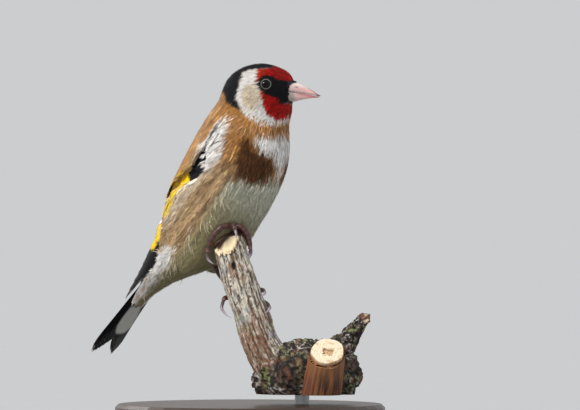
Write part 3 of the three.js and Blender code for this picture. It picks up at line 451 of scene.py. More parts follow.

# %% [markdown]
# The body's colours: tan over the back and flanks, a brown patch on each side of the breast, white between
# them, and a pale belly that is painted darker and olive towards its lower part behind the legs, as painted
# shade. Under the shoulder and beside the rump the loose feathers are white with black streaks, and the
# mantle is golden where it meets the wing's yellow bar. They could be painted on an unwrap, but here each
# is a patch laid over the one before, and streaks along the feathers break up all of it.

# %% Body markings
def body_markings(p):
    run, turn = run_and_turn(p)
    h, z = side_place(p)
    seen = ease(24, 33, turn)
    fuzz = np.stack([waves(p, 2.2, 1), waves(p, 2.2, 2)]) + 0.6 * streaks(run, turn, 6)
    h, z = h + 0.7 * fuzz[0], z + 0.9 * fuzz[1]
    made = blend(MANTLE, MANTLE_EDGE, 0.7 * ease(34, 46, turn) * ease(74, 64, run))
    made = blend(made, NECK_TAN, ease(44, 70, turn) * ease(64, 74, run))
    flank = ease(46, 60, turn) * ease(72, 62, run)
    made = blend(made, FLANK_TAN, flank)
    dark = np.clip(streaks(run, turn, 5) + 0.1, 0, 1)
    made = blend(made, FLANK_DARK, 0.55 * dark * ease(60, 76, turn) * ease(84, 70, run))
    made = blend(made, FLANK_DARK, 0.45 * ease(-14, -6, h) * ease(102, 92, z) * flank)
    made = blend(made, FLANK_GREY, 0.65 * patch(FLANK_PALE, h, z, 1.6) * seen)
    made = blend(made, RUST, patch(RUST_BAND, h, z, 1.0) * seen)
    # the belly darkens to olive towards its lower part: painted shade
    belly = blend(BELLY, OLIVE_PAINTED_SHADE, ease(88, 56, z + 0.9 * h))
    made = blend(made, belly, patch(BELLY_PATCH, h, z, 1.8) * seen)
    made = blend(made, CHESTNUT, 0.95 * patch(CHESTNUT_PATCH, h, z, 1.9) * seen)
    made = blend(made, WHITE, 0.96 * patch(BREAST_WHITE, h, z, 1.3) * seen)
    streaky = patch(STREAKY, h, z, 1.0) * seen
    made = blend(made, WHITE, 0.92 * streaky)
    made = blend(made, STREAK_BLACK, 0.85 * streaky * ease(0.35, 0.8, streaks(run, turn, 8, 0.7)))
    rump = patch(RUMP_SIDE, h, z, 1.2) * seen
    made = blend(made, WHITE, 0.95 * rump)
    made = blend(made, STREAK_BLACK, 0.8 * rump * ease(0.45, 0.8, streaks(run, turn, 9, 0.8)))
    golden = patch(YELLOW_BAR, h + 0.4, z, 0.9) * ease(12, 20, turn) * ease(72, 60, turn)
    made = blend(made, YELLOW, 0.9 * golden)
    strength = 0.09 + 0.16 * flank * (1 - patch(BELLY_PATCH, h, z, 1.8)) + 0.08 * ease(62, 74, run)
    return made * np.exp(strength * streaks(run, turn, 7, 0.6))[..., None]

# %% [markdown]
# The head's colours: a black crown that reaches down behind the cheek, a red face parted by the black
# lores, and a white cheek with a cream middle. The black closes round the eye on all sides. They are laid
# over the body's colours in the same way, with edges that are softer on the cheek than on the mask.

# %% Head markings
MASK_SOFT = 0.3  # millimetres, half the width of the mask's edges
EAR_MIDDLE = (-2.6, -2.4)  # of the cheek's cream part, x and z
EAR_SIZE = (4.2, 5.6)
EYE_X, EYE_Z = 3.2, 2.5


def markings(p):
    """The plumage's colour at points in millimetres, on either side of the body."""
    made = body_markings(p)
    x, _, z = head_place(p)
    x, z = x + 0.3 * waves(p, 0.9, 3), z + 0.3 * waves(p, 0.9, 4)
    made = blend(made, WHITE, patch(CHEEK, x, z, 0.7))
    ear = np.hypot((x - EAR_MIDDLE[0]) / EAR_SIZE[0], (z - EAR_MIDDLE[1]) / EAR_SIZE[1])
    made = blend(made, CREAM, 0.85 * ease(1.15, 0.55, ear) * (z < 4))
    made = blend(made, CROWN_BLACK, patch(CROWN, x, z, 0.45))
    rough = (1 + 0.35 * waves(p, 0.5, 12))[..., None]
    brow = rough * blend(RED, EDGE_RED, ease(3.5, -0.5, x) * (z > 0))
    chin = rough * blend(RED, EDGE_RED, 0.5 * ease(3.0, 0.6, x))
    made = blend(made, brow, patch(RED_BROW, x, z, MASK_SOFT))
    made = blend(made, chin, patch(RED_CHIN, x, z, MASK_SOFT))
    made = blend(made, BLACK, patch(LORES, x, z, MASK_SOFT))
    return blend(made, BLACK, ease(3.5, 2.9, np.hypot(x - EYE_X, z - EYE_Z)))


print("colour on the crown:", markings(head_point([-3.0], 0.0, 9.0)).round(3))

# %% [markdown]
# A mesh is made from plain arrays, which is far quicker than adding faces one by one. Colours go in as an
# attribute that the material reads, so that one material serves every patch of the plumage.

# %% Making meshes
def make_mesh(name, points, faces, material, colours=None, uv=None, smooth=True):
    """points in millimetres, faces as rows of 3 or 4 (4 with -1 last is a triangle), one colour a point."""
    faces = np.asarray(faces, np.int32)
    counts = (faces >= 0).sum(axis=1)
    corners = faces[faces >= 0]
    mesh = bpy.data.meshes.new(name)
    mesh.vertices.add(len(points))
    mesh.vertices.foreach_set("co", (np.asarray(points, float) * MM).ravel())
    mesh.loops.add(len(corners))
    mesh.loops.foreach_set("vertex_index", corners)
    mesh.polygons.add(len(faces))
    mesh.polygons.foreach_set("loop_start", np.concatenate([[0], np.cumsum(counts)[:-1]]).astype(np.int32))
    mesh.polygons.foreach_set("loop_total", counts.astype(np.int32))
    mesh.polygons.foreach_set("use_smooth", np.full(len(faces), smooth))
    mesh.update(calc_edges=True)
    if colours is not None:
        layer = mesh.color_attributes.new("Tint", "FLOAT_COLOR", "POINT")
        layer.data.foreach_set("color", np.concatenate([colours, np.ones((len(colours), 1))], axis=1).ravel())
    if uv is not None:
        layer = mesh.uv_layers.new(name="OFBake")
        layer.data.foreach_set("uv", np.asarray(uv, float)[corners].ravel())
    mesh.materials.append(material)
    piece = bpy.data.objects.new(name, mesh)
    bpy.context.scene.collection.objects.link(piece)
    return piece


def grid_faces(rings, around, closed=True, first=0):
    """Quads over rings of points, wound so that they face away from the rings' middle."""
    k, j = np.meshgrid(np.arange(rings - 1), np.arange(around if closed else around - 1), indexing="ij")
    a, b = k * around + j, k * around + (j + 1) % around
    return first + np.stack([a, b, b + around, a + around], axis=-1).reshape(-1, 4)


def capped_faces(rings, around):
    """Quads over closed rings, with a fan at either end onto two points that follow those of the rings."""
    j = np.arange(around)
    after = (j + 1) % around
    last = (rings - 1) * around
    none = np.full(around, -1)
    return np.concatenate([
        grid_faces(rings, around),
        np.stack([after, j, np.full(around, rings * around), none], axis=1),
        np.stack([last + j, last + after, np.full(around, rings * around + 1), none], axis=1),
    ])


def turned_over(faces):
    """The same faces, wound the other way."""
    return np.where(faces[:, 3:] < 0, faces[:, [2, 1, 0, 3]], faces[:, ::-1])

# %% [markdown]
# Every finish is made of the same few steps: a principled shader, a colour that comes from the Tint of the
# mesh or from one constant, noise that varies the colour and the roughness, and a fine bump. One helper
# builds that chain, and each finish then names its own numbers.

# %% Finishes
def ranged(tree, source, low, high):
    """The noise of a material, brought into a range."""
    spread = tree.nodes.new("ShaderNodeMapRange")
    spread.inputs["To Min"].default_value = low
    spread.inputs["To Max"].default_value = high
    tree.links.new(source, spread.inputs["Value"])
    return spread.outputs["Result"]


def finish(name, tint=None, vary=0.1, scale=900.0, roughness=(0.5, 0.7), bump=0.2, reach=0.0001,
           stretch=(1, 1, 1), **sockets):
    """tint None reads the mesh's own colours. scale and stretch are of the noise, in steps a metre."""
    material = bpy.data.materials.new(name)
    material.use_nodes = True
    tree = material.node_tree
    nodes, links = tree.nodes, tree.links
    shader = nodes["Principled BSDF"]
    for socket, value in sockets.items():
        shader.inputs[socket.replace("_", " ")].default_value = value
    place = nodes.new("ShaderNodeTexCoord")
    drawn_out = nodes.new("ShaderNodeMapping")
    drawn_out.inputs["Scale"].default_value = stretch
    links.new(place.outputs["Object"], drawn_out.inputs["Vector"])
    speckle = nodes.new("ShaderNodeTexNoise")
    speckle.inputs["Scale"].default_value = scale
    speckle.inputs["Detail"].default_value = 4
    links.new(drawn_out.outputs["Vector"], speckle.inputs["Vector"])
    if tint is None:
        source = nodes.new("ShaderNodeVertexColor")
        source.layer_name = "Tint"
    else:
        source = nodes.new("ShaderNodeRGB")
        source.outputs[0].default_value = (*tint, 1)
    product = nodes.new("ShaderNodeVectorMath")
    product.operation = "SCALE"
    links.new(source.outputs[0], product.inputs[0])
    links.new(ranged(tree, speckle.outputs["Fac"], 1 - vary, 1 + vary), product.inputs["Scale"])
    links.new(product.outputs["Vector"], shader.inputs["Base Color"])
    links.new(ranged(tree, speckle.outputs["Fac"], *roughness), shader.inputs["Roughness"])
    relief = nodes.new("ShaderNodeBump")
    relief.inputs["Strength"].default_value = bump
    relief.inputs["Distance"].default_value = reach
    links.new(speckle.outputs["Fac"], relief.inputs["Height"])
    links.new(relief.outputs["Normal"], shader.inputs["Normal"])
    return material


SOFT_FEATHER = finish("soft_feather", vary=0.14, scale=1400, roughness=(0.62, 0.85), bump=0.3,
                      Sheen_Weight=0.04, Sheen_Roughness=0.5, Specular_IOR_Level=0.2)
SKIN = finish("skin_under_feathers", vary=0.2, scale=900, roughness=(0.7, 0.9), bump=0.4)
print("first finishes:", SOFT_FEATHER.name, SKIN.name)

# %% [markdown]
# The skin itself: the outer grid sunk by the coat's depth. It could stop at the wing, but then gaps between
# the wing's feathers would show the far side. So where the wing lies bare, the skin goes down under the
# wing's bed, and it closes with a point at either end.

# %% Skin mesh
UNDER_BED = 0.9  # millimetres from the wing's bed down to the skin
BED_MARGIN = 1.5  # degrees that the sunken part reaches past the bare wing
# how much darker the skin is painted than the plumage: painted shade under the coat
SKIN_PAINTED_SHADE = 0.75
UV_EDGE, UV_WIDE, UV_TALL = 0.02, 0.95, 0.96  # where the unwrap of the rings starts, and its size


def coat_depth(p):
    x, y, z = head_place(p)
    face = ease(13.5, 10.5, np.sqrt((x - 7) ** 2 + y**2 + (z + 0.5) ** 2))
    return COAT_DEPTH + (FACE_DEPTH - COAT_DEPTH) * face


def skin_points():
    outer = plumage_grid.reshape(-1, 3)
    skin = outer - body_normal(outer) * coat_depth(outer)[:, None]
    a, angle, h = wing_place(skin)
    under = window_share(skin, BED_MARGIN) & (h > -UNDER_BED)
    sides = np.sign(skin[under, 1])
    skin[under] = wing_point(np.clip(a[under], 0, BED_END + 2), angle[under], -UNDER_BED, sides)
    return skin


skin_grid = skin_points()
skin_all = np.concatenate([skin_grid, [skin_grid[:AROUND].mean(axis=0), skin_grid[-AROUND:].mean(axis=0)]])
up_uv = np.linspace(UV_EDGE, UV_EDGE + UV_TALL, RINGS)
round_uv = np.linspace(UV_EDGE, UV_EDGE + UV_WIDE, AROUND)
ring_uv = np.stack([np.tile(round_uv, RINGS), np.repeat(up_uv, AROUND)], axis=1)
skin_uv = np.concatenate([ring_uv, [[0.5, 0.01], [0.5, 0.99]]])
# the skin takes the plumage's colours, darkened as painted shade under the coat
skin_tint = markings(skin_all) * SKIN_PAINTED_SHADE
skin = make_mesh("skin", skin_all, capped_faces(RINGS, AROUND), SKIN, skin_tint, skin_uv)
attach(skin, "root")
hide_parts("head", "neck", "torso", "tail_coverts")
print("skin points:", len(skin_all))

# %% [markdown]
# Small feathers lie like tiles: each starts at the skin, runs along the lie of the coat and ends just over
# the feathers behind it. From the bill they run back over the crown and cheeks, and from the neck on along
# the body to the tail. Hair strands could be combed that way too, but a finished model keeps only meshes,
# so each feather is a small fan of tapered barbs that share a root.

# %% The lie of the coat
BILL_ROOT = head_point(14.5, 0, -0.8)
BILL_PULL = 2.2  # how much the way from the bill outweighs the way along the body, on the head


def lie(p):
    """The way that feathers point, from root to tip, along the surface, and the surface's normal."""
    run, turn = run_and_turn(p)
    i = np.searchsorted(fine_run, run).clip(0, len(fine_run) - 1)
    way = in_middle_plane(-fine_way[i, 0], -fine_way[i, 1])
    back = in_middle_plane(-fine_way[i, 1], fine_way[i, 0])
    side = ease(40, 80, turn) * ease(150, 110, turn)
    shoulder = ease(58, 66, run) * ease(88, 78, run) * ease(50, 66, turn)
    shoulder = shoulder * ease(118, 96, turn)
    way = way + back * (0.1 * side + 0.5 * shoulder)[:, None]
    on_head = ease(84, 92, run + 0.35 * head_place(p)[0])
    way = unit(way) + BILL_PULL * unit(p - BILL_ROOT) * on_head[:, None]
    n = body_normal(p)
    return unit(way - n * (way * n).sum(axis=1, keepdims=True)), n


BODY_LENGTH, BODY_WIDTH, BODY_MANY = 5.4, 2.0, 1.5  # millimetres, and feathers on a square millimetre
HEAD_WIDTH, HEAD_MANY = 0.85, 4.6
HEAD_LENGTHS = ([2, 8, 16, 24], [1.3, 1.9, 2.9, 3.6])  # how far from the bill, and the length there


def feather_size(p):
    """Length, width, how many feathers stand on a square millimetre, and how far the tips are ruffled."""
    run, turn = run_and_turn(p)
    x, y, z = head_place(p)
    from_bill = np.sqrt((x - 12) ** 2 + y**2 + z**2)
    on_head = ease(15.5, 11, np.linalg.norm(p - HEAD_CENTRE, axis=1) + 0.3 * (z < -7))
    flank = ease(60, 80, turn) * ease(128, 112, turn) * ease(70, 58, run)
    length = BODY_LENGTH + 1.6 * flank + 0.8 * ease(30, 15, run)
    length = length + (np.interp(from_bill, *HEAD_LENGTHS) - length) * on_head
    width = BODY_WIDTH + (HEAD_WIDTH - BODY_WIDTH) * on_head
    many = BODY_MANY + (HEAD_MANY - BODY_MANY) * on_head
    ruffle = 0.4 + 0.7 * flank - 0.2 * on_head
    return length, width, many, ruffle


flank_size = np.ravel(feather_size(np.array([[-20.0, -14.0, 70.0]])))
print("a flank feather's length, width, density and ruffle:", flank_size.round(2))

# %% [markdown]
# Roots are strewn evenly: the skin's cells are walked in order, each adding its area times the density,
# and a feather stands wherever the sum passes a whole number. Blender can scatter points as well, but this
# way the roots come with their place on the unwrap. The draws are seeded, so that every run gives the same
# bird.

# %% Strewing the roots
def strewn_roots(seed):
    rng = np.random.RandomState(seed)
    grid = plumage_grid
    beside = np.roll(grid, -1, axis=1)
    a, b, c, d = grid[:-1], beside[:-1], beside[1:], grid[1:]
    area = 0.5 * np.linalg.norm(np.cross(c - a, d - b), axis=-1)
    middle = ((a + b + c + d) / 4).reshape(-1, 3)
    _, _, many, _ = feather_size(middle)
    total = np.cumsum(area.ravel() * many)
    count = int(total[-1])
    cell = np.searchsorted(total, np.arange(count) + rng.uniform(0, 1, count))
    cell = cell[cell < len(total)]
    k, j = np.divmod(cell, AROUND)
    u, v = rng.uniform(0, 1, (2, len(cell)))
    corner = [m.reshape(-1, 3)[cell] for m in (a, b, c, d)]
    shares = ((1 - u) * (1 - v), u * (1 - v), u * v, (1 - u) * v)
    root = sum(place * share[:, None] for place, share in zip(corner, shares))
    uv = [UV_EDGE + UV_WIDE * (j + u) / (AROUND - 1), UV_EDGE + UV_TALL * (k + v) / (RINGS - 1)]
    return root, np.clip(np.stack(uv, axis=1), 0.004, 0.996)


EYE_CLEAR = 2.2
UPPER_HORN, LOWER_HORN = 11.5, 10.3  # along the head, where the bill's halves leave the plumage


def left_bare(p):
    """Roots that grow nothing: over the bare wing, in the eyes and under the bill."""
    x, y, z = head_place(p)
    eye = (np.hypot(x - EYE_X, z - EYE_Z) < EYE_CLEAR) & (np.abs(y) > 4)
    horn = np.where(z < -2, LOWER_HORN, UPPER_HORN) - 0.5 * np.minimum(z, 0)
    bill = (x > horn) & (np.abs(y) < 3.4) & (z < 3.6) & (z > -4.2)
    return window_share(p) | eye | bill


roots, root_uv = strewn_roots(7)
keep = ~left_bare(roots)
roots, root_uv = roots[keep], root_uv[keep]
print("small feathers:", len(roots))

# %% [markdown]
# One call lays a whole tract of feathers at once. The shaft is walked over the surface in four steps, and
# at each step it takes the height that a tile would have. The barbs then fan out from it. Each barb has its
# own colour, read from the markings at its tip, and its own shade, so that neighbours part as real barbs do.

# %% Walking the shafts
SHAFT_STEPS = 4


def walk_shafts(p, length, ruffle, depth, rng, swing, curl):
    """swing turns each feather a little at random, and curl bends its tip towards the belly."""
    way, n = lie(p)
    turned = rng.normal(0, 1, len(p)) * swing
    bend = -np.sign(p[:, 1]) * curl * rng.uniform(0.3, 1.7, len(p))
    stations, normals, sides = [], [], []
    at = laid_at(p, -depth)
    for k in range(SHAFT_STEPS + 1):
        across = np.cross(n, way)
        share = (k + 1) / SHAFT_STEPS
        heading = unit(way + across * (turned + bend * share**2)[:, None])
        stations.append(at)
        normals.append(n)
        sides.append(np.cross(n, heading))
        if k == SHAFT_STEPS:
            break
        at = at + heading * (length / SHAFT_STEPS)[:, None]
        way, n = lie(at)
        height = -depth * (1 - share) ** 1.3 + ruffle * share**2
        at = at + n * (height - body_distance(at))[:, None]
    return [np.stack(rows, axis=1) for rows in (stations, normals, sides)]


def read_along(rows, t):
    """rows (feathers, steps, 3) at places t (feathers, ...) in 0..1."""
    place = np.clip(t, 0, 1) * SHAFT_STEPS
    i = np.minimum(place.astype(int), SHAFT_STEPS - 1)
    f = (place - i)[..., None]
    which = np.arange(len(rows)).reshape((-1,) + (1,) * (t.ndim - 1))
    return rows[which, i] * (1 - f) + rows[which, i + 1] * f

# %% [markdown]
# A barb is a narrow strip that ends in a point. It could be one triangle, but with three pairs of points it
# bows with the feather, and its width can swell and taper. All barbs of a tract are made in one go, as
# arrays with a row for each feather.

# %% Laying feathers
BARB_POINTS = 3  # pairs of points along a barb, before its tip
POINTS_PER_BARB = 2 * BARB_POINTS + 1
PATCH_SIZE = 0.003  # of one feather on the unwrap
ROOT_DARK, TIP_GAIN = 0.72, 0.3  # shade at a barb's root, and how much lighter its tip is
barb_steps = np.linspace(0, 1, BARB_POINTS + 1)
barb_along = np.concatenate([np.repeat(barb_steps[:BARB_POINTS], 2), [1.0]])


def fanned_barbs(shaft, normal, side, width, barbs, rng):
    """Points (feathers, barbs, points, 3) of all barbs, and each barb's place across its feather, -1 to 1."""
    n = len(shaft)
    s = np.linspace(-1, 1, barbs)[None, :] + rng.uniform(-0.5, 0.5, (n, barbs)) / barbs
    start = rng.uniform(0.0, 0.3, (n, barbs))
    stop = 1 - 0.26 * s**2 - rng.uniform(0, 0.14, (n, barbs))
    tau = barb_steps[None, None, :]
    t = start[..., None] + (stop - start)[..., None] * tau
    across = read_along(side, t)
    fan = (s * (width / 2)[:, None])[..., None] * tau**0.75
    bow = 0.10 * rng.uniform(-1, 1, (n, barbs, 1)) * tau - 0.12 * (s**2)[..., None] * tau
    middle = read_along(shaft, t) + across * fan[..., None] + read_along(normal, t) * bow[..., None]
    half = 0.62 * (width / barbs)[:, None, None] * (1 - tau**2.4)
    left, right = middle - across * half[..., None], middle + across * half[..., None]
    pairs = np.stack([left[:, :, :BARB_POINTS], right[:, :, :BARB_POINTS]], axis=3)
    return np.concatenate([pairs.reshape(n, barbs, -1, 3), middle[:, :, -1:]], axis=2), s


def barb_faces(count):
    strip = [(2 * k, 2 * k + 1, 2 * k + 3, 2 * k + 2) for k in range(BARB_POINTS - 1)]
    strip.append((POINTS_PER_BARB - 3, POINTS_PER_BARB - 2, POINTS_PER_BARB - 1, -1))
    first = (np.arange(count) * POINTS_PER_BARB)[:, None, None]
    return np.where(np.array(strip)[None] < 0, -1, first + np.array(strip)[None]).reshape(-1, 4)


def lay_feathers(name, p, uv, length, width, ruffle, depth, barbs, seed, pale=0.0,
                 swing=0.12, curl=0.0, shade=0.14):
    """pale lightens the feathers towards the colour of down, and shade is how much their shades differ."""
    rng = np.random.RandomState(seed)
    n = len(p)
    length = length * rng.uniform(0.85, 1.15, n)
    lift = ruffle * rng.uniform(0, 1, n) ** 2
    points, s = fanned_barbs(*walk_shafts(p, length, lift, depth, rng, swing, curl), width, barbs, rng)
    tips = points[:, :, -1].reshape(-1, 3)
    tip_colour = blend(markings(tips), DOWN, np.full(len(tips), pale)).reshape(n, barbs, 3)
    own = np.exp(rng.normal(0, shade, (n, 1, 1)) + rng.normal(0, shade * 0.8, (n, barbs, 1)))
    fade = (ROOT_DARK + TIP_GAIN * barb_along)[None, None, :, None]
    colours = np.clip((tip_colour * own)[:, :, None] * fade, 0, 0.95)
    tile = np.stack(np.broadcast_arrays(s[..., None] * 0.5 + 0.5, barb_along[None, None]), axis=-1)
    tile = uv[:, None, None] + (tile - 0.5) * PATCH_SIZE
    piece = make_mesh(name, points.reshape(-1, 3), barb_faces(n * barbs), SOFT_FEATHER,
                      colours.reshape(-1, 3), tile.reshape(-1, 2))
    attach(piece, "root")
    triangles = n * barbs * (2 * BARB_POINTS - 1)
    print(f"{name}: {n} feathers, {triangles} triangles")
    return triangles


print("points of a barb:", POINTS_PER_BARB, "at shares of its length", barb_along.round(2))

# %% [markdown]
# Feathers that start beside the wing would hide it with their tips. They could be combed away from it, but
# on the bird they end there: each is cut back to where the bare part of the wing begins, apart from a few
# that fray the edge.

# %% Clear of the wing
FRAYED_SHARE = 0.04
CUT_STEP = 0.2  # of a feather's length


def clear_length(p, length, seed):
    """The length that a feather may have before its tip lies on the bare wing."""
    way, _ = lie(p)
    allowed = length.copy()
    for share in (1.0, 0.8, 0.6, 0.4, 0.2):
        over = window_share(p + way * (length * share)[:, None], 1.0)
        allowed = np.where(over, length * (share - CUT_STEP), allowed)
    frays = np.random.RandomState(seed).uniform(0, 1, len(p)) < FRAYED_SHARE
    return np.where(frays, np.maximum(allowed, 0.6 * length), allowed)


length, width, _, ruffle = feather_size(roots)
full_length = length
length = clear_length(roots, length, 5)
print("feathers cut back at the wing:", int((length < full_length).sum()))

# %% [markdown]
# The coat is laid tract by tract, as the feathers of a bird grow in tracts: face, crown, back, sides,
# flanks, breast and belly. Each tract is a piece of its own, small enough to handle, and has its own number
# of barbs and its own contrast: face feathers are short and differ much, belly feathers hardly at all.

# %% Body feathers
SHORTEST = 0.8  # millimetres, of a feather that is worth laying
LOW_RUN = 58  # below it a feather is on flank or belly, above it on breast or neck
root_run, root_turn = run_and_turn(roots)
depth = coat_depth(roots)
on_head = np.linalg.norm(roots - HEAD_CENTRE, axis=1) < 15.5
on_face = head_place(roots)[0] > 0.5
side = (root_turn >= 60) & (root_turn < 118)
grown = length > SHORTEST
TRACTS = {
    # which feathers, barbs of each and how much their shades differ
    "face_feathers": (on_head & on_face, 10, 0.2),
    "head_feathers": (on_head & ~on_face, 9, 0.16),
    "mantle_feathers": (~on_head & (root_turn < 60), 9, 0.12),
    "neck_and_side_feathers": (~on_head & side & (root_run >= LOW_RUN), 9, 0.15),
    "flank_feathers": (~on_head & side & (root_run < LOW_RUN), 9, 0.15),
    "breast_feathers": (~on_head & (root_turn >= 118) & (root_run >= LOW_RUN), 8, 0.09),
    "belly_feathers": (~on_head & (root_turn >= 118) & (root_run < LOW_RUN), 8, 0.06),
}
coat_triangles = 0
for seed, (name, (chosen, barbs, shade)) in enumerate(TRACTS.items()):
    chosen = chosen & grown
    coat_triangles += lay_feathers(name, roots[chosen], root_uv[chosen], length[chosen], width[chosen],
                                   ruffle[chosen], depth[chosen], barbs, 11 + seed, shade=shade)
print("coat so far:", coat_triangles, "triangles")

# %% [markdown]
# Over the tiled feathers lie loose tufts of three barbs, each barb a shade of its own, which give the coat
# its hairy look. Particle hair would be the usual way, but these are meshes like the rest. Along the lower
# edge of the flank they are pale and curl down, and beside the wing and at the rump they stand off, so that
# the outline is not a clean line.

# %% Loose barbs
TUFT_WIDTH = 1.1
TUFT_BARBS = 3
TUFT_SHADE = 0.3
more, more_uv = strewn_roots(31)
free = ~left_bare(more)
more, more_uv = more[free], more_uv[free]
more_run, more_turn = run_and_turn(more)
length = clear_length(more, feather_size(more)[0], 6)
h, z = side_place(more)
hem = patch(BELLY_PATCH, h, z, 2.5) * (more_run > 18) * (more_run < 62) * (more_turn < 122)
fringe = (hem > 0.08) & (hem < 0.75)
edge = (window_share(more, 7.0) | (patch(RUMP_SIDE, h, z, 2.0) > 0.4)) & (more_turn > 50) & (more_run < 60)
below_head = np.linalg.norm(more - HEAD_CENTRE, axis=1) > 14
usual = ~fringe & (patch(BELLY_PATCH, h, z, 2.0) < 0.3) & below_head & (length > 2)
every_third = np.arange(len(more)) % 3 == 0
LOOSE = {
    # which roots, length against the feathers there, lift, swing, curl, how pale
    "loose_back": (usual & (more_turn < 84), 1.1, 0.35, 0.16, 0.0, 0.0),
    "loose_side": (usual & (more_turn >= 84), 1.1, 0.4, 0.16, 0.0, 0.0),
    "loose_fringe": (fringe & every_third, 1.2, 1.0, 0.35, 1.3, 0.35),
    "loose_edge": (edge & (length > 2) & every_third, 1.0, 2.4, 0.5, 0.0, 0.35),
}
for seed, (name, (chosen, longer, lift, swing, curl, pale)) in enumerate(LOOSE.items()):
    count = int(chosen.sum())
    coat_triangles += lay_feathers(name, more[chosen], more_uv[chosen], length[chosen] * longer,
                                   np.full(count, TUFT_WIDTH), np.full(count, lift),
                                   0.3 * coat_depth(more[chosen]), TUFT_BARBS, 31 + seed, pale,
                                   swing, curl, TUFT_SHADE)
print("coat with loose barbs:", coat_triangles, "triangles")

# %% [markdown]
# A flight feather is a stiff shaft with a thin web on each side. It could be one flat card, but light on a
# real wing plays on the arch of each web and on the step between feathers. So a vane here is a thin closed
# blade: a grid of points along and across, arched over its shaft, with a rounded tip, a top and an
# underside. The place of each point comes from the surface that the feather lies on.

# %% One vane
VANE_STEPS = 40
VANE_ACROSS = 17  # points, odd, so that one row is the shaft's
VANE_THICKNESS = 0.16
# how much darker the underside of a vane is painted: painted shade
UNDERSIDE_PAINTED_SHADE = 0.8


def vane_outline(t, tip_round, root_share):
    """Half width of a vane against its greatest, at shares t of its length."""
    grow = root_share + (1 - root_share) * ease(0, 0.45, t)
    end = np.clip((1 - t) / tip_round, 0, 1)
    return grow * np.sqrt(np.clip(1 - (1 - end) ** 2, 0, 1))


def vane(at, width, paint, outer_share=0.5, tip_round=0.22, root_share=0.5, arch=0.25, frayed=0.0, seed=0):
    """at(t, x, h) is a place at a share t of the length, x to the side and h up. paint(t, s, p) gives colours
    at the places p, with s from -1 on the outer edge to 1 on the inner. Returns points, faces and colours."""
    rng = np.random.RandomState(seed)
    t = np.linspace(0, 1, VANE_STEPS) ** 0.85
    s = np.linspace(-1, 1, VANE_ACROSS)
    t_grid, s_grid = np.meshgrid(t, s, indexing="ij")
    half = width * vane_outline(t_grid, tip_round, root_share)
    share = np.where(s_grid < 0, outer_share, 1 - outer_share)
    x = s_grid * half * share
    nick = frayed * rng.uniform(0, 1, t_grid.shape) * (np.abs(s_grid) > 0.99)
    lag = 0.035 * np.abs(s_grid) + nick  # barbs slope, so the edge trails the shaft
    place = np.clip(t_grid - lag * (t_grid > 0.2), 0, 1)
    rise = -arch * s_grid**2 + 0.09 * np.exp(-((s_grid / 0.10) ** 2))
    top = at(place, x, rise + VANE_THICKNESS / 2)
    low = at(place, x, rise - VANE_THICKNESS / 2 * (1 - 0.6 * np.abs(s_grid)))
    points = np.concatenate([top.reshape(-1, 3), low.reshape(-1, 3)])
    below = len(points) // 2
    upper = grid_faces(VANE_STEPS, VANE_ACROSS, closed=False)
    lower = grid_faces(VANE_STEPS, VANE_ACROSS, closed=False, first=below)[:, ::-1]
    k = np.arange(VANE_STEPS)
    j = np.arange(VANE_ACROSS)
    edge = np.concatenate([k * VANE_ACROSS, (VANE_STEPS - 1) * VANE_ACROSS + j[1:],
                           (k * VANE_ACROSS + VANE_ACROSS - 1)[::-1][1:], j[::-1][1:-1]])
    rim = np.stack([edge, np.roll(edge, -1), np.roll(edge, -1) + below, edge + below], axis=1)
    colours = paint(t_grid, s_grid, top).reshape(-1, 3)
    # the underside gets the top's colours, darkened as painted shade
    return points, np.concatenate([upper, lower, rim]), np.concatenate([colours, colours * UNDERSIDE_PAINTED_SHADE])


def bundle(name, vanes, material, slot, *nodes):
    """Several vanes as one piece."""
    first = 0
    points, faces, colours = [], [], []
    for p, f, c in vanes:
        points.append(p)
        faces.append(f + first)
        colours.append(c)
        first += len(p)
    piece = make_mesh(name, np.concatenate(points), np.concatenate(faces), material, np.concatenate(colours))
    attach(piece, "root")
    if nodes:
        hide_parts(*nodes)
    print(f"{name}: {len(vanes)} vanes")
    return piece


VANE_FINISH = finish("flight_feather", vary=0.16, scale=2600, roughness=(0.38, 0.6), bump=0.35, reach=0.00006,
                     stretch=(1, 1, 0.25), Specular_IOR_Level=0.2)
print("points of a vane:", 2 * VANE_STEPS * VANE_ACROSS)

# %% [markdown]
# The wing in tiers. The flight feathers are black with pale tips, and their outer webs are yellow near the
# coverts. The greater coverts are black with yellow ends, so that the two make one yellow bar, whose outline
# is drawn on the bird as a whole. The median coverts above are black, and the tertials turn tan where they
# come near the mantle. Each row names its first and last feather, and those between follow smoothly.

# %% The wing's rows
WING_BLACK = colour("0d0c10")
COVERT_BLACK = colour("14131c")
TIP_WHITE = colour("efe2da")
TERTIAL_TAN = colour("dda45f")
FLIGHT = ("primaries", "secondaries", "tertials")

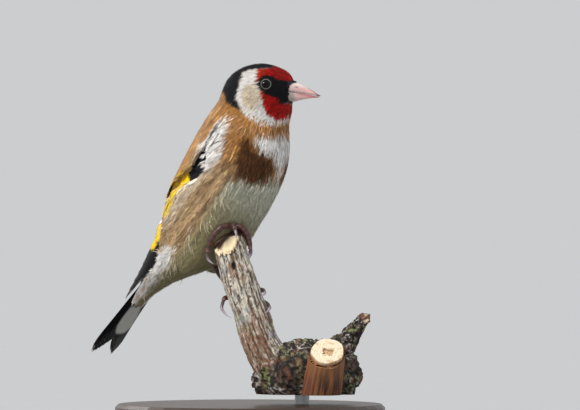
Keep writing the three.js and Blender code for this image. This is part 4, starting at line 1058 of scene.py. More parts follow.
# a and angle of roots and tips from the outermost feather to the innermost, and height over the bed
ROWS = {
    "primaries": {
        "count": 9, "width": 5.4, "outer": 0.3,
        "root": ([15, 18, 21], [88, 82, 76], [0.3, 0.7]),
        "tip": ([76.5, 79, 78.5, 75.5, 72, 68.5, 65, 61.5, 58], [42, 22], [0.3, 1.5]),
        "yellow": [0.50, 0.66],
    },
    "secondaries": {
        "count": 6, "width": 5.8, "outer": 0.4,
        "root": ([22, 26], [72, 54], [1.1, 1.3]),
        "tip": ([54.5, 53.8, 53, 52, 51, 50], [50, 24], [1.7, 2.4]),
        "yellow": [0.0, 0.45],
    },
    "tertials": {
        "count": 3, "width": 7.0, "outer": 0.5,
        "root": ([25, 27], [50, 32], [1.5, 1.6]),
        "tip": ([48.5, 44, 38], [28, 15], [2.6, 3.0]),
        "yellow": [0.0, 0.0],
    },
    "greater_coverts": {
        "count": 9, "width": 4.6, "outer": 0.5,
        "root": ([15, 19], [84, 44], [1.7, 1.8]),
        "tip": ([31, 32.5, 33], [80, 36], [1.9, 2.9]),
        "yellow": [0.72, 1.01],
    },
    "median_coverts": {
        "count": 7, "width": 4.4, "outer": 0.5,
        "root": ([11, 13], [83, 52], [2.1, 2.2]),
        "tip": ([21.5, 22.5], [82, 46], [2.6, 3.2]),
        "yellow": [2.0, 2.0],
    },
}


def yellow_share(row, t, s, p):
    """How yellow a wing feather is at shares t along and s across it, and at its places p on the bird."""
    h, z = side_place(p)
    comb = 0.5 + 0.5 * np.sin(h * 9 + z * 4)
    left_edge = -0.28 * (z - 73) - 26.4  # the bar is carried on beyond this slanting line
    carried = np.where(h < -24, np.maximum(h, left_edge), h)
    bar = patch(YELLOW_BAR, carried + 0.4 * comb, z, 0.35)
    fan = patch(YELLOW_COMB, h, z + 0.6 * comb, 0.3) * (1 - 0.7 * ease(0.75, 1.0, comb))
    low, high = row["yellow"]
    web = ease(low - 0.02, low + 0.02, t) * ease(high + 0.03, high - 0.03, t)
    web = web * ease(0.15, -0.05, s) * ((h < -26) | (h > -10))  # between these the bar alone decides
    return np.maximum(np.maximum(bar, fan), web)


def wing_paint(name, row):
    """Colours by the place along and across a feather, and for yellow and tan by its place on the bird."""

    def paint(t, s, p):
        made = blend(COVERT_BLACK if "coverts" in name else WING_BLACK, YELLOW, yellow_share(row, t, s, p))
        if name in FLIGHT:
            spot = 0.012 + 0.10 * (name == "tertials")
            made = blend(made, TIP_WHITE, ease(1 - spot - 0.012, 1 - spot + 0.008, t + 0.02 * s * s))
            made = blend(made, TIP_WHITE, 0.6 * ease(0.86, 0.93, t) * ease(-0.93, -0.99, s))
        if name == "tertials":
            made = blend(made, TERTIAL_TAN, ease(74, 78, p[..., 2]))
        return made * (1 + 0.3 * np.exp(-((s / 0.12) ** 2)))[..., None]

    return paint


def row_feather(name, row, i, side):
    share = i / (row["count"] - 1)
    ends = []
    for end in ("root", "tip"):
        ends.append([float(smooth_row(values, share * (len(values) - 1))) for values in row[end]])
    (a0, angle0, h0), (a1, angle1, h1) = ends

    def at(t, x, h):
        a = a0 + (a1 - a0) * t
        width = smooth_row(BED_SIDE, a / WING_STEP)
        angle = angle0 + (angle1 - angle0) * t**2 - np.degrees(x / (width + h0))
        over = h0 + (h1 - h0) * np.clip(t * 1.6, 0, 1)
        return wing_point(a, angle, over + h, side)

    tip_round = 0.16 if name in ("primaries", "secondaries") else 0.3
    return vane(at, row["width"], wing_paint(name, row), row["outer"], tip_round, frayed=0.02, seed=i)


for side, wing_name in ((1, "wing_left"), (-1, "wing_right")):
    feathers = []
    for name, row in ROWS.items():
        for i in range(row["count"]):
            feathers.append(row_feather(name, row, i, side))
    bundle(wing_name + "_feathers", feathers, VANE_FINISH, "wing_feathers", wing_name)

# %% [markdown]
# The tail has twelve feathers, the middle pair on top. They are black, with thin pale rims at the tips of
# the outer ones. Near the tip each outer feather has a white window, of which a slanting oval shows from the
# side that is looked at. It could be painted feather by feather, but it is one outline across the whole
# tail. The left half is spread a little wider than the right.

# %% Tail
TAIL_ROOT = np.array([-29.2, 0.0, 63.1])
TAIL_LEAN = math.radians(40.4)
TAIL_ROLL = math.radians(8)
TAIL_LENGTHS = [45, 46.6, 48.2, 49.6, 50.8, 50.4]
TAIL_TIPS = [1.4, 2.2, 3.0, 3.7, 4.4, 5.0]
TAIL_ROOTS = [0.3, 0.6, 0.9, 1.2, 1.5, 1.8]
TAIL_WIDTH = 5.8
TAIL_FAN = 1.45  # of the left half against the right
TAIL_START = 9.0
TAIL_CREST = -0.1
TAIL_STEP = 0.27
TAIL_WINDOW = [
    (-39.9, 43.2), (-39.2, 42.1), (-40.7, 38.6), (-43.5, 34.3), (-45.6, 32.5), (-47.8, 32.2), (-48.6, 32.9),
    (-47.8, 35.4), (-45.6, 38.6), (-43.1, 41.8),
]
WINDOW_WHITE = colour("b9bab4")
tail_axis = np.array([-math.sin(TAIL_LEAN), 0.0, -math.cos(TAIL_LEAN)])
level_side = np.array([0.0, 1.0, 0.0])
tail_side = level_side * math.cos(TAIL_ROLL) + np.cross(tail_axis, level_side) * math.sin(TAIL_ROLL)
tail_back = np.cross(tail_axis, tail_side)


def tail_place(s, across, up):
    """s millimetres along the tail from its root, across it to the left, and up over its back."""
    return TAIL_ROOT + s[..., None] * tail_axis + across[..., None] * tail_side + up[..., None] * tail_back


def tail_feather(i, side):
    rise = TAIL_CREST - TAIL_STEP * (i if side > 0 else i + 0.5)
    fan = TAIL_FAN if side > 0 else 1.0

    def at(t, x, h):
        y = (TAIL_ROOTS[i] + (TAIL_TIPS[i] - TAIL_ROOTS[i]) * t**1.5) * fan
        return tail_place(TAIL_START + (TAIL_LENGTHS[i] - TAIL_START) * t, side * (y - x), rise + h)

    def paint(t, s, p):
        made = blend(WING_BLACK, WINDOW_WHITE, patch(TAIL_WINDOW, p @ RIGHT, p[..., 2], 0.3))
        rim = ease(0.978, 0.99, t + 0.012 * s * s) * (1.0 if i > 3 else 0.2)
        edge = 0.8 * ease(0.8, 0.95, t) * ease(-0.9, -0.98, s) * (i == 5)
        return blend(made, TIP_WHITE, np.maximum(rim, edge))

    outer_share = 0.36 if i > 2 else 0.5
    return vane(at, TAIL_WIDTH, paint, outer_share, tip_round=0.14, arch=0.16, frayed=0.01, seed=40 + i)


bundle("tail_vanes", [tail_feather(i, side) for i in range(len(TAIL_LENGTHS)) for side in (1, -1)],
       VANE_FINISH, "tail_feathers", "tail")

# %% [markdown]
# White coverts of the rump lie over the root of the tail, and show along its upper edge. They could be small
# feathers like the coat's, but they are long and lie flat, so they are vanes of the same kind as the tail's,
# shorter, and tinged with tan here and there.

# %% Upper tail coverts
COVERT_LENGTHS = [27, 25.5, 23, 20]
COVERT_WIDTH = 5.2
COVERT_START = 1.0
COVERT_REACH = {-1: 4.6, 1: 1.4}  # sideways, more on the right, where the tail is narrower


def upper_covert(i, side):
    rise = 0.8 + 0.3 * i
    length = COVERT_LENGTHS[i]

    def at(t, x, h):
        across = side * (COVERT_REACH[side] - 0.3 * i - x)
        return tail_place(COVERT_START + (length - COVERT_START) * t, across, rise + h)

    def paint(t, s, p):
        tan = ease(0.1, 0.5, np.sin(t * 21 + i * 2 + side) * np.cos(s * 2 + i))
        return blend(WHITE, MANTLE_EDGE, 0.55 * tan)

    return vane(at, COVERT_WIDTH, paint, tip_round=0.35, arch=0.3, frayed=0.06, seed=60 + i)


bundle("tail_covert_vanes", [upper_covert(i, side) for i in range(len(COVERT_LENGTHS)) for side in (1, -1)],
       VANE_FINISH, "tail_feathers")

# %% [markdown]
# The eye is a dark, wet ball that fills its opening. It could be set in by hand, but the head's surface is
# known as a distance, so the place and the slope of the side of the head are measured there first.

# %% Place of the eye
EYE_RADIUS = 2.45
EYE_SUNK = 1.9
FAR_SIDE = 12.0  # millimetres, outside the head
SIDE_HALVINGS = 20


def head_side(x, z):
    """How far the plumage's surface lies from the middle of the head, at a place on its side."""
    x, z = np.broadcast_arrays(np.asarray(x, float), z)
    low, high = np.zeros(x.shape), np.full(x.shape, FAR_SIDE)
    for _ in range(SIDE_HALVINGS):
        middle = (low + high) / 2
        inside = body_distance(head_point(x, -middle, z)) < 0
        low, high = np.where(inside, middle, low), np.where(inside, high, middle)
    return low


slope_x = float(head_side(EYE_X + 1, EYE_Z) - head_side(EYE_X - 1, EYE_Z)) / 2
slope_z = float(head_side(EYE_X, EYE_Z + 1) - head_side(EYE_X, EYE_Z - 1)) / 2
eye_depth = EYE_SUNK / math.hypot(slope_x, slope_z, 1)
eye_side = float(head_side(EYE_X, EYE_Z)) - eye_depth
print("the eye's side of the head slopes by", round(slope_x, 2), "forward and", round(slope_z, 2), "upward")

# %% [markdown]
# The ball looks square out of the sloping side of the head. A ready-made sphere would do, but here its rings
# run round the line of sight, so that the cornea and the pupil are rings of it. The cornea stands a little
# proud, and the iris is so dark a brown that the pupil hardly parts from it.

# %% Eyeballs
EYE_BLACK = finish("dark_iris", vary=0.3, scale=2200, roughness=(0.05, 0.09), bump=0.02,
                   Specular_IOR_Level=0.2)
PUPIL_BLACK = colour("040303")
IRIS_BROWN = colour("0b0605")
EYE_ROWS, EYE_AROUND = 28, 40
CORNEA_RISE = 0.035  # of the radius
CORNEA_WIDE = 0.5  # in radians from the middle
PUPIL_EDGE = (0.36, 0.42)


def eye_ball(side):
    polar = np.linspace(0.02, math.pi - 0.02, EYE_ROWS)[:, None]
    turn = np.linspace(0, 2 * math.pi, EYE_AROUND, endpoint=False)[None]
    bulge = EYE_RADIUS * (1 + CORNEA_RISE * np.exp(-((polar / CORNEA_WIDE) ** 2)))
    look = unit(np.array([-slope_x, 1.0, -slope_z]))
    level = unit(np.cross([0, 0, 1.0], look))
    steep = np.cross(look, level)
    across = (bulge * np.sin(polar) * np.cos(turn))[..., None] * level
    across = across + (bulge * np.sin(polar) * np.sin(turn))[..., None] * steep
    x, y, z = np.moveaxis((bulge * np.cos(polar))[..., None] * look + across, -1, 0)
    p = head_point(EYE_X + slope_x * eye_depth + x, side * (eye_side + y), EYE_Z + slope_z * eye_depth + z)
    tint = blend(PUPIL_BLACK, IRIS_BROWN, ease(*PUPIL_EDGE, np.repeat(polar, EYE_AROUND, axis=1)))
    j, last = np.arange(1, EYE_AROUND - 1), (EYE_ROWS - 1) * EYE_AROUND
    none = np.full(len(j), -1)
    faces = np.concatenate([
        grid_faces(EYE_ROWS, EYE_AROUND),
        np.stack([j + 1, j, np.zeros_like(j), none], axis=1),
        np.stack([last + j, last + j + 1, np.full(len(j), last), none], axis=1),
    ])
    return p.reshape(-1, 3), faces if side > 0 else turned_over(faces), tint.reshape(-1, 3)


for side, name in ((1, "left"), (-1, "right")):
    p, f, tint = eye_ball(side)
    ball = make_mesh("eyeball_" + name, p, f, EYE_BLACK, tint)
    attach(ball, "root")
    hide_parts("eye_" + name)
    print("eyeball_" + name + ":", len(p), "points")

# %% [markdown]
# Round the eye runs a bare lid: a thin roll of grey skin with tiny beads on the very edge, and a thicker
# black one round it, both heavier above. They could be one torus each, but they have to follow the side of
# the head, so each is a tube whose middle is measured there. The short black feathers of the face close up
# to it.

# %% Lids
LID_SKIN = finish("lid_skin", vary=0.25, scale=5200, roughness=(0.45, 0.65), bump=0.5)
LID_ROLLS = [
    # radius, thickness, height over the plumage, colour
    (1.70, 0.075, 0.13, colour("8c8681")),
    (1.93, 0.14, 0.04, colour("0f0d0d")),
]
LID_AROUND, LID_RING = 96, 10
LID_BEADS = 26


def lid(side):
    turn = np.linspace(0, 2 * math.pi, LID_AROUND, endpoint=False)[:, None]
    roll = np.linspace(0, 2 * math.pi, LID_RING, endpoint=False)[None]
    k, j = np.meshgrid(np.arange(LID_AROUND), np.arange(LID_RING), indexing="ij")
    over, beside = (k + 1) % LID_AROUND, (j + 1) % LID_RING
    corners = [k * LID_RING + j, over * LID_RING + j, over * LID_RING + beside, k * LID_RING + beside]
    faces = np.stack(corners, axis=-1).reshape(-1, 4)[:, ::side]
    rolls = []
    for n, (radius, thick, out, tint) in enumerate(LID_ROLLS):
        beads = 1 + 0.16 * np.sin(turn * LID_BEADS + n)
        thickness = thick * beads * (1 + 0.25 * np.clip(np.sin(turn), 0, 1))
        r = radius + thickness * np.cos(roll)
        x = EYE_X + r * np.cos(turn)
        z = EYE_Z + r * np.sin(turn) * (1 - 0.05 * np.abs(np.cos(turn)))
        p = head_point(x, side * (head_side(x, z) + out + thickness * np.sin(roll)), z).reshape(-1, 3)
        rolls.append((p, faces, np.broadcast_to(tint, p.shape)))
    return rolls


def joined_pieces(parts):
    """Several (points, faces, colours) as one."""
    points, faces, colours = zip(*parts)
    firsts = np.cumsum([0] + [len(p) for p in points[:-1]])
    faces = [np.where(f < 0, -1, f + first) for f, first in zip(faces, firsts)]
    return np.concatenate(points), np.concatenate(faces), np.concatenate(colours)


for side, name in ((1, "left"), (-1, "right")):
    p, f, tint = joined_pieces(lid(side))
    rim = make_mesh("eyelid_" + name, p, f, LID_SKIN, tint)
    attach(rim, "root")
    print("eyelid_" + name + ":", len(LID_ROLLS), "rolls")

# %% [markdown]
# Horn, bark and wood are never even. The unevenness could be left to the materials, but here it also moves
# points and mixes colours, so it is worked out at the points, as the sum of a few sizes of smooth noise.

# %% Fractal noise
def ripples(p, size, octaves=4, seed=0.0):
    """Fractal noise at points in millimetres, about -1..1."""
    shift = Vector((seed, seed * 1.7, seed * 0.3))
    return np.array([noise.fractal(Vector(q) + shift, 1.0, 2.0, octaves) for q in p / size])


print("noise at three points:", ripples(np.eye(3), 1.0).round(2))

# %% [markdown]
# The bill is horn over bone: a straight-edged cone in two halves, pinkish white, with a dusky ridge near
# the tip. It is lofted from the same sections as the solids, in finer steps, and the edges where the
# halves meet are drawn in a little so that the mouth's line shows.

# %% Colours of the bill
BILL_BACK = 7.6
BILL_TIPS = {"upper": 22.4, "lower": 21.9}
CULMEN = [5.0, 4.4, 3.45, 2.1, 0.5, -1.3]
MOUTH = [0.6, 0.25, -0.35, -0.85, -1.25, -1.75]
GONYS = [-4.0, -3.9, -3.55, -2.85, -2.35, -2.1]
HALF_WIDTH = [4.3, 4.1, 3.3, 2.2, 1.2, 0.3]
HORN_PINK, HORN_ROSE, HORN_LIGHT = colour("d8b9b8"), colour("e9b9b4"), colour("f3e3df")
HORN_CLOUD, HORN_DUSK, HORN_TIP = colour("a995a8"), colour("3a2d35"), colour("54434c")
HORN_DOTS, HORN_BASE, HORN_STRIPE = colour("6b4a50"), colour("8f8a7a"), colour("b0363a")


def bill_place(x, half):
    """Where millimetres along the head lie in the rows above, for one half of the bill."""
    return np.clip((x - BILL_BACK) / (BILL_TIPS[half] - BILL_BACK), 0, 1) * (len(MOUTH) - 1)


def bill_tint(p, half):
    """Pinkish white. The upper half darkens on its ridge, the lower half has a red stripe low on the side."""
    x, y, z = head_place(p)
    mouth = smooth_row(MOUTH, bill_place(x, "upper"))
    cloudy = ease(0.0, 0.5, ripples(p, 1.6, 3, 21.0)) * ease(19, 15, x)
    tint = blend(HORN_PINK, HORN_ROSE, ease(12, 17, x))
    tint = blend(tint, HORN_CLOUD, 0.5 * cloudy)
    if half == "upper":
        light = ease(0.4, 0.75, (z - mouth) / 4.0) * ease(20, 17, x)
        ridge = ease(0.9, 0.3, np.abs(y)) * ease(15, 19.5, x)
        dots = ease(0.45, 0.15, np.abs(z - mouth - 0.35)) * (np.sin(x * 9.5) > 0.35)
        tint = blend(tint, HORN_LIGHT, 0.8 * light)
        tint = blend(tint, HORN_DUSK, 0.9 * ridge)
        tint = blend(tint, HORN_DOTS, 0.5 * dots * ease(12.5, 14, x))
    else:
        stripe = ease(1.15, 0.35, mouth - z) * ease(13.5, 15.0, x)
        tint = blend(tint, HORN_BASE, 0.6 * ease(14.5, 12.5, x))
        tint = blend(tint, HORN_STRIPE, 0.75 * stripe)
    return blend(tint, HORN_TIP, 0.7 * ease(20.8, 22.2, x))

# %% [markdown]
# Each half of the bill is a row of arches from its root to its tip. A cone could be bent to that shape, but
# its ridge and its mouth curve in ways of their own. The nostril is a shallow pit in the side of the upper
# half, painted dark inside as painted shade.

# %% Bill
NOSTRIL = (14.1, 1.5)
NOSTRIL_SIZE = (0.55, 0.28)
NOSTRIL_DEPTH = 0.4
NOSTRIL_PAINTED_SHADE = colour("2a2024")
BILL_STEPS, BILL_ARCH = 44, 29
TIP_REACH = 0.12
HALVES = {
    # ridge, how far the edge stands off the mouth's line, fullness of the arch
    "upper": (CULMEN, 0.06, 0.85),
    "lower": (GONYS, -0.06, 0.38),
}
HORN = finish("bill_horn", vary=0.1, scale=1500, roughness=(0.28, 0.5), bump=0.16, stretch=(0.35, 0.35, 1.6),
              Subsurface_Weight=0.12, Subsurface_Scale=0.001, Coat_Weight=0.15)


def bill_half(name):
    ridge, lift, fullness = HALVES[name]
    tip = BILL_TIPS[name]
    x = BILL_BACK + (tip - BILL_BACK) * (1 - (1 - np.linspace(0, 1, BILL_STEPS)) ** 1.25)
    rows = [smooth_row(row, bill_place(x, name))[:, None] for row in (MOUTH, ridge, HALF_WIDTH)]
    mouth, edge, width = rows[0] + lift, rows[1], rows[2]
    x = x[:, None]
    angle = np.linspace(0, math.pi, BILL_ARCH)[None]
    rise = np.clip(np.sin(angle), 0, 1)
    z = mouth + (edge - mouth) * rise**fullness
    y = width * np.cos(angle) * (1 - 0.05 * np.exp(-((rise / 0.12) ** 2)))
    pit = np.exp(-(((x - NOSTRIL[0]) / NOSTRIL_SIZE[0]) ** 2) - ((z - NOSTRIL[1]) / NOSTRIL_SIZE[1]) ** 2)
    pit = pit * (name == "upper")
    y = y - NOSTRIL_DEPTH * pit * np.sign(y)
    ring = np.concatenate([head_point(x, y, z), head_point(x, 0, mouth)], axis=1)
    back = head_point(BILL_BACK, 0, mouth[0] + lift)
    end = head_point(tip + TIP_REACH, 0, mouth[-1] * 0.6 + edge[-1] * 0.4)
    p = np.concatenate([ring.reshape(-1, 3), back, end])
    faces = capped_faces(BILL_STEPS, BILL_ARCH + 1)
    # the nostril's pit is painted dark: painted shade inside it
    dark = np.concatenate([0.75 * pit, np.zeros((BILL_STEPS, 1))], axis=1).ravel()
    tint = blend(bill_tint(p, name), NOSTRIL_PAINTED_SHADE, np.append(dark, [0, 0]))
    return p, faces if name == "upper" else turned_over(faces), tint


for name in HALVES:
    p, f, tint = bill_half(name)
    half = make_mesh("bill_horn_" + name, p, f, HORN, tint)
    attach(half, "root")
    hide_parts("bill_" + name)
    print("bill_horn_" + name + ":", len(p), "points")

# %% [markdown]
# Short black bristles grow forward over the root of the upper bill and hide where horn and skin meet. Each
# is a thin tapered blade that follows the bill's surface a little above it, longest on the ridge. Hair
# strands could do the same, but few are needed, and blades stay meshes.

# %% Bristles
BRISTLES = 260
BRISTLE_STATIONS = ((0, 0.085), (0.35, 0.085), (0.7, 0.055), (1.0, 0.0))  # share of length, half width
BRISTLE_FACES = np.array([(0, 1, 3, 2), (2, 3, 5, 4), (4, 5, 6, -1)])
BRISTLE_POINTS = BRISTLE_FACES.max() + 1
BRISTLE_GREY = colour("3c3640")
rng = np.random.RandomState(78)
angle = np.arccos(rng.uniform(-1, 1, BRISTLES))
start = rng.uniform(9.6, 11.0, BRISTLES)
stop = 11.3 + 3.0 * np.sin(angle) ** 2 + rng.uniform(-0.5, 0.3, BRISTLES)
above = rng.uniform(1.03, 1.10, BRISTLES)
blade = []
for share, half in BRISTLE_STATIONS:
    x = start + (stop - start) * share
    mouth, edge, width = (smooth_row(row, bill_place(x, "upper")) for row in (MOUTH, CULMEN, HALF_WIDTH))
    size = above + 0.03 * (1 - share)
    for sign in (-1, 1) if half else (1,):
        turned = np.clip(angle + sign * half + 0.1 * share * np.cos(angle), 0, math.pi)
        z = mouth + (edge - mouth) * np.clip(np.sin(turned), 0, 1) ** 0.85 * size
        blade.append(head_point(x, width * np.cos(turned) * size, z))
points = np.stack(blade, axis=1).reshape(-1, 3)
first = (np.arange(BRISTLES) * BRISTLE_POINTS)[:, None, None]
faces = np.where(BRISTLE_FACES < 0, -1, first + BRISTLE_FACES).reshape(-1, 4)
tint = blend(BLACK, BRISTLE_GREY, rng.uniform(0, 0.8, BRISTLES))
bristles = make_mesh("bill_bristles", points, faces, SOFT_FEATHER, np.repeat(tint, BRISTLE_POINTS, axis=0))
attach(bristles, "root")
print("bristles:", BRISTLES)

# %% [markdown]
# A tube along a bent line serves for shanks, toes, claws and all of the perch but its knot. A curve with a
# bevel is the usual way to a tube. This one is made of points, so that its radius can change with every
# plate of a scale and every ridge of the wood.

# %% Tubes
LINE_STEPS = 400
END_RING = 0.8  # how much narrower the first and the last ring are


def carried_frames(line):
    """Directions along a line and two across it that turn as little as they can."""
    way = unit(np.gradient(line, axis=0))
    one = unit(np.cross(way[0], [0.31, 0.87, 0.39]))
    ones = []
    for w in way:
        one = unit(one - w * (one @ w))
        ones.append(one)
    ones = np.array(ones)
    return way, ones, np.cross(way, ones)


def tube(points, radii, steps, sides, shape=None, ends=(0.7, 0.7)):
    """A closed tube along a smooth line, as points, faces, and each point's share of the length and angle.
    shape(t, angle, length) changes each point's radius, and ends are how far the end points stand out."""
    rough = smooth_row(points, np.linspace(0, len(points) - 1, LINE_STEPS))
    run = np.concatenate([[0], np.cumsum(np.linalg.norm(np.diff(rough, axis=0), axis=1))])
    t = np.linspace(0, 1, steps)
    line = np.stack([np.interp(t * run[-1], run, rough[:, k]) for k in range(3)], axis=1)
    way, one, two = carried_frames(line)
    angle = np.linspace(0, 2 * math.pi, sides, endpoint=False)
    radius = smooth_row(radii, t * (len(radii) - 1))[:, None] * np.ones(sides)
    if shape is not None:
        radius = radius * shape(t[:, None], angle[None], run[-1])
    around = one[:, None] * np.cos(angle)[:, None] + two[:, None] * np.sin(angle)[:, None]
    ring = line[:, None] + radius[..., None] * around
    caps = [line[0] - way[0] * radius[0].mean() * ends[0], line[-1] + way[-1] * radius[-1].mean() * ends[1]]
    for k in (0, -1):
        ring[k] = line[k] + (ring[k] - line[k]) * END_RING
    p = np.concatenate([ring.reshape(-1, 3), caps])
    along = np.concatenate([np.repeat(t, sides), [0, 1]])
    return p, capped_faces(steps, sides), along, np.concatenate([np.tile(angle, steps), [0, 0]])


straight = tube([(0, 0, 0), (0, 0, 5)], [1, 1], 6, 8)
print("a short test tube has", len(straight[0]), "points and", len(straight[1]), "faces")

# %% [markdown]
# Toes and shanks are cased in scales: overlapping plates along the top and soft pads below. Plates could
# be bump alone, but on toes this near they break the outline, so the tube's own radius steps at each
# plate. The far foot is built as fully as the near one.

# %% Legs
SHANK_RADIUS = 0.95
TOE_RADIUS = 0.9184
TOE_SHRINK = 0.8
CLAW_RADII = [0.6325, 0.4675, 0.1]
SCALE_LENGTH = 1.25  # millimetres, of one plate
LEG_DARK, LEG_BROWN, TOE_PINK = colour("3a211f"), colour("744c48"), colour("a87f82")
CLAW_DARK, CLAW_PALE = colour("55454c"), colour("b0a2b0")
LEGS = {
    "right": {
        "shank": [(-10.0, 70.5, 1.0), (-8.0, 71.4, 4.4), (-6.0, 70.6, 8.2)],
        "outer": [
            (-6.0, 70.6, 8.2), (-8.7, 71.1, 9.6), (-11.0, 69.9, 10.2), (-13.7, 66.4, 10.0),
            (-15.0, 61.9, 9.2),
        ],
        "middle": [(-6.0, 70.6, 8.2), (-5.7, 71.2, 9.8), (-5.3, 70.3, 11.4)],
        "inner": [
            (-6.0, 70.6, 8.2), (-3.2, 70.9, 8.3), (-0.9, 68.3, 8.4), (0.0, 65.2, 8.5), (0.1, 63.0, 8.5),
        ],
        "hind": [(-6.0, 70.6, 8.2), (-3.8, 70.5, 5.6), (-1.3, 67.4, 4.0), (0.0, 64.0, 3.6)],
        "claws": {
            "outer": [(-15.1, 61.2, 9.2), (-14.6, 59.2, 9.4), (-12.8, 57.7, 9.8)],
            "middle": [(-5.2, 69.9, 12.0), (-4.9, 68.9, 13.4), (-4.6, 67.0, 13.8)],
            "inner": [(0.1, 62.4, 8.6), (-0.1, 60.6, 9.2), (-1.3, 58.9, 10.0)],
            "hind": [(0.2, 63.3, 3.6), (0.4, 61.4, 3.9), (-0.4, 59.2, 4.4)],
        },
    },
    "left": {
        "shank": [(-12.4, 56.6, -7.8), (-9.6, 52.4, -6.0), (-2.0, 47.0, -0.4)],
        "outer": [(-2.0, 47.0, -0.4), (1.6, 48.4, 0.4), (4.3, 48.4, 3.2), (4.9, 48.2, 5.4)],
        "middle": [(-2.0, 47.0, -0.4), (2.0, 45.4, -0.2), (5.4, 43.9, 2.4), (6.5, 43.2, 5.0)],
        "inner": [(-2.0, 47.0, -0.4), (-0.6, 43.2, -0.3), (2.4, 40.2, 0.4), (5.4, 38.8, 2.2)],
        "hind": [(-2.0, 47.0, -0.4), (-5.6, 46.4, 0.4), (-8.8, 45.6, 3.2), (-9.3, 44.9, 5.2)],
        "claws": {
            "outer": [(5.0, 48.1, 6.0), (5.2, 47.4, 7.8), (4.0, 46.0, 10.0)],
            "middle": [(6.7, 42.9, 5.7), (7.0, 42.0, 7.6), (5.6, 40.4, 9.8)],
            "inner": [(5.9, 38.5, 2.8), (7.0, 37.8, 4.2), (7.2, 36.6, 6.0)],
            "hind": [(-9.5, 44.4, 5.8), (-9.9, 42.0, 7.4), (-8.3, 39.8, 8.8), (-6.4, 38.8, 10.0)],
        },
    },
}


def scales(t, angle, length):
    """Radius of a toe against the plain tube: plates that step on top, small pads below."""
    plate = (t * length / SCALE_LENGTH) % 1
    step = 0.10 * (plate - 0.5) * (0.6 + 0.4 * np.cos(angle))
    pads = 0.05 * np.cos(angle * 9 + t * length * 5) * np.clip(-np.cos(angle), 0, 1)
    return 1 + step + pads


LEG_SKIN = finish("leg_scales", vary=0.28, scale=2600, roughness=(0.38, 0.62), bump=0.45, Coat_Weight=0.1)
CLAW_HORN = finish("claw_horn", vary=0.15, scale=2600, roughness=(0.25, 0.4), bump=0.15, Coat_Weight=0.3)


def leg(side):
    parts = []
    for name, line in LEGS[side].items():
        if name == "claws":
            continue
        r = SHANK_RADIUS if name == "shank" else TOE_RADIUS
        radii = [r, r * 1.05, r if name == "shank" else r * TOE_SHRINK]
        p, f, along, _ = tube(perch_point(*np.transpose(line)), radii, 90, 18, scales)
        tint = blend(LEG_DARK, LEG_BROWN, 0.4 * np.abs(np.sin(along * 22)))
        tint = blend(tint, TOE_PINK, 0.45 * ease(0.88, 1.0, along) * (name != "shank"))
        parts.append((p, f, tint))
    return joined_pieces(parts)


for side in LEGS:
    p, f, tint = leg(side)
    piece = make_mesh("foot_" + side, p, f, LEG_SKIN, tint)
    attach(piece, "root")
    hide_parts("leg_" + side)
    for toe, line in LEGS[side]["claws"].items():
        p, f, along, _ = tube(perch_point(*np.transpose(line)), CLAW_RADII, 40, 16, ends=(0.6, 1.5))
        tint = blend(CLAW_DARK, CLAW_PALE, ease(0.1, 0.7, along))
        piece = make_mesh(f"talon_{side}_{toe}", p, f, CLAW_HORN, tint)
        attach(piece, "root")
        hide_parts(f"claw_{side}_{toe}")
    print("foot and claws made:", side)

# %% [markdown]
# The perch is dead wood in three states: a bleached branch without bark, broken at the top, a swollen knot
# with flaky bark, and a sawn stub. Displacement in the material could roughen it, but the roughness has to
# be there in the mesh, so points are moved along the surface's own normal by noise that is stretched along
# the grain.

# %% Moving points outward
def moved_out(p, faces, amount):
    """Moves points along the mesh's own normals."""
    a, b, c = (p[faces[:, k]] for k in range(3))
    face_normal = np.cross(b - a, c - a)
    normal = np.zeros(p.shape)
    for k in range(3):
        np.add.at(normal, faces[:, k], face_normal)
    return p + unit(normal) * amount[:, None]


def perch_way(h, z, q):
    """A direction, told by its shares along the perch's plane, upward and out of it."""
    return unit(perch_point(h, z, q))

# %% [markdown]
# The bare branch has long ridges, grain that runs along it, and a small hole where a twig was. Its top is
# torn off. The break could be cut with a boolean, but splinters need points of their own, so the branch's
# end is pressed down onto two planes, unevenly, and hollowed where the wood isn't freshly torn.

# %% Branch
BRANCH = np.array([
    (-9.4, 71.5, 7.8, 5.1), (-7.5, 65.2, 7.6, 5.3), (-3.7, 51.8, 7.2, 5.5), (1.1, 37.6, 6.4, 5.8),
    (5.2, 27.6, 5.0, 6.3), (11.5, 17.5, 3.6, 6.8),
])
HOLE = (-5.7, 57.2)  # of an old twig, h and z
TORN_FACE = [
    (-13.5, 62.7), (-11.9, 63.2), (-10.1, 62.7), (-9.1, 66.9), (-7.1, 68.0), (-4.6, 68.7), (-3.9, 68.0),
    (-5.5, 64.8), (-6.0, 62.7), (-7.1, 59.5), (-9.6, 60.2), (-12.8, 60.5),
]
BREAKS = [((-8.5, 68.4, 7.8), (-0.14, 1.0, 0.75)), ((-10.5, 64.5, 9.5), (-0.45, 0.5, 0.74))]  # place and way
GRAIN_WIDTH = 5.5  # millimetres, so that noise round the branch is as fine as along it
BREAK_START = 0.5  # millimetres under a plane, where the pressing begins
SPLINTER_LENGTH = 1.1


def branch_shape(t, angle, length):
    return (1 + 0.035 * np.sin(3 * angle + 9 * t) + 0.03 * np.sin(5 * angle - 14 * t + 1)
            + 0.025 * np.sin(23 * t))


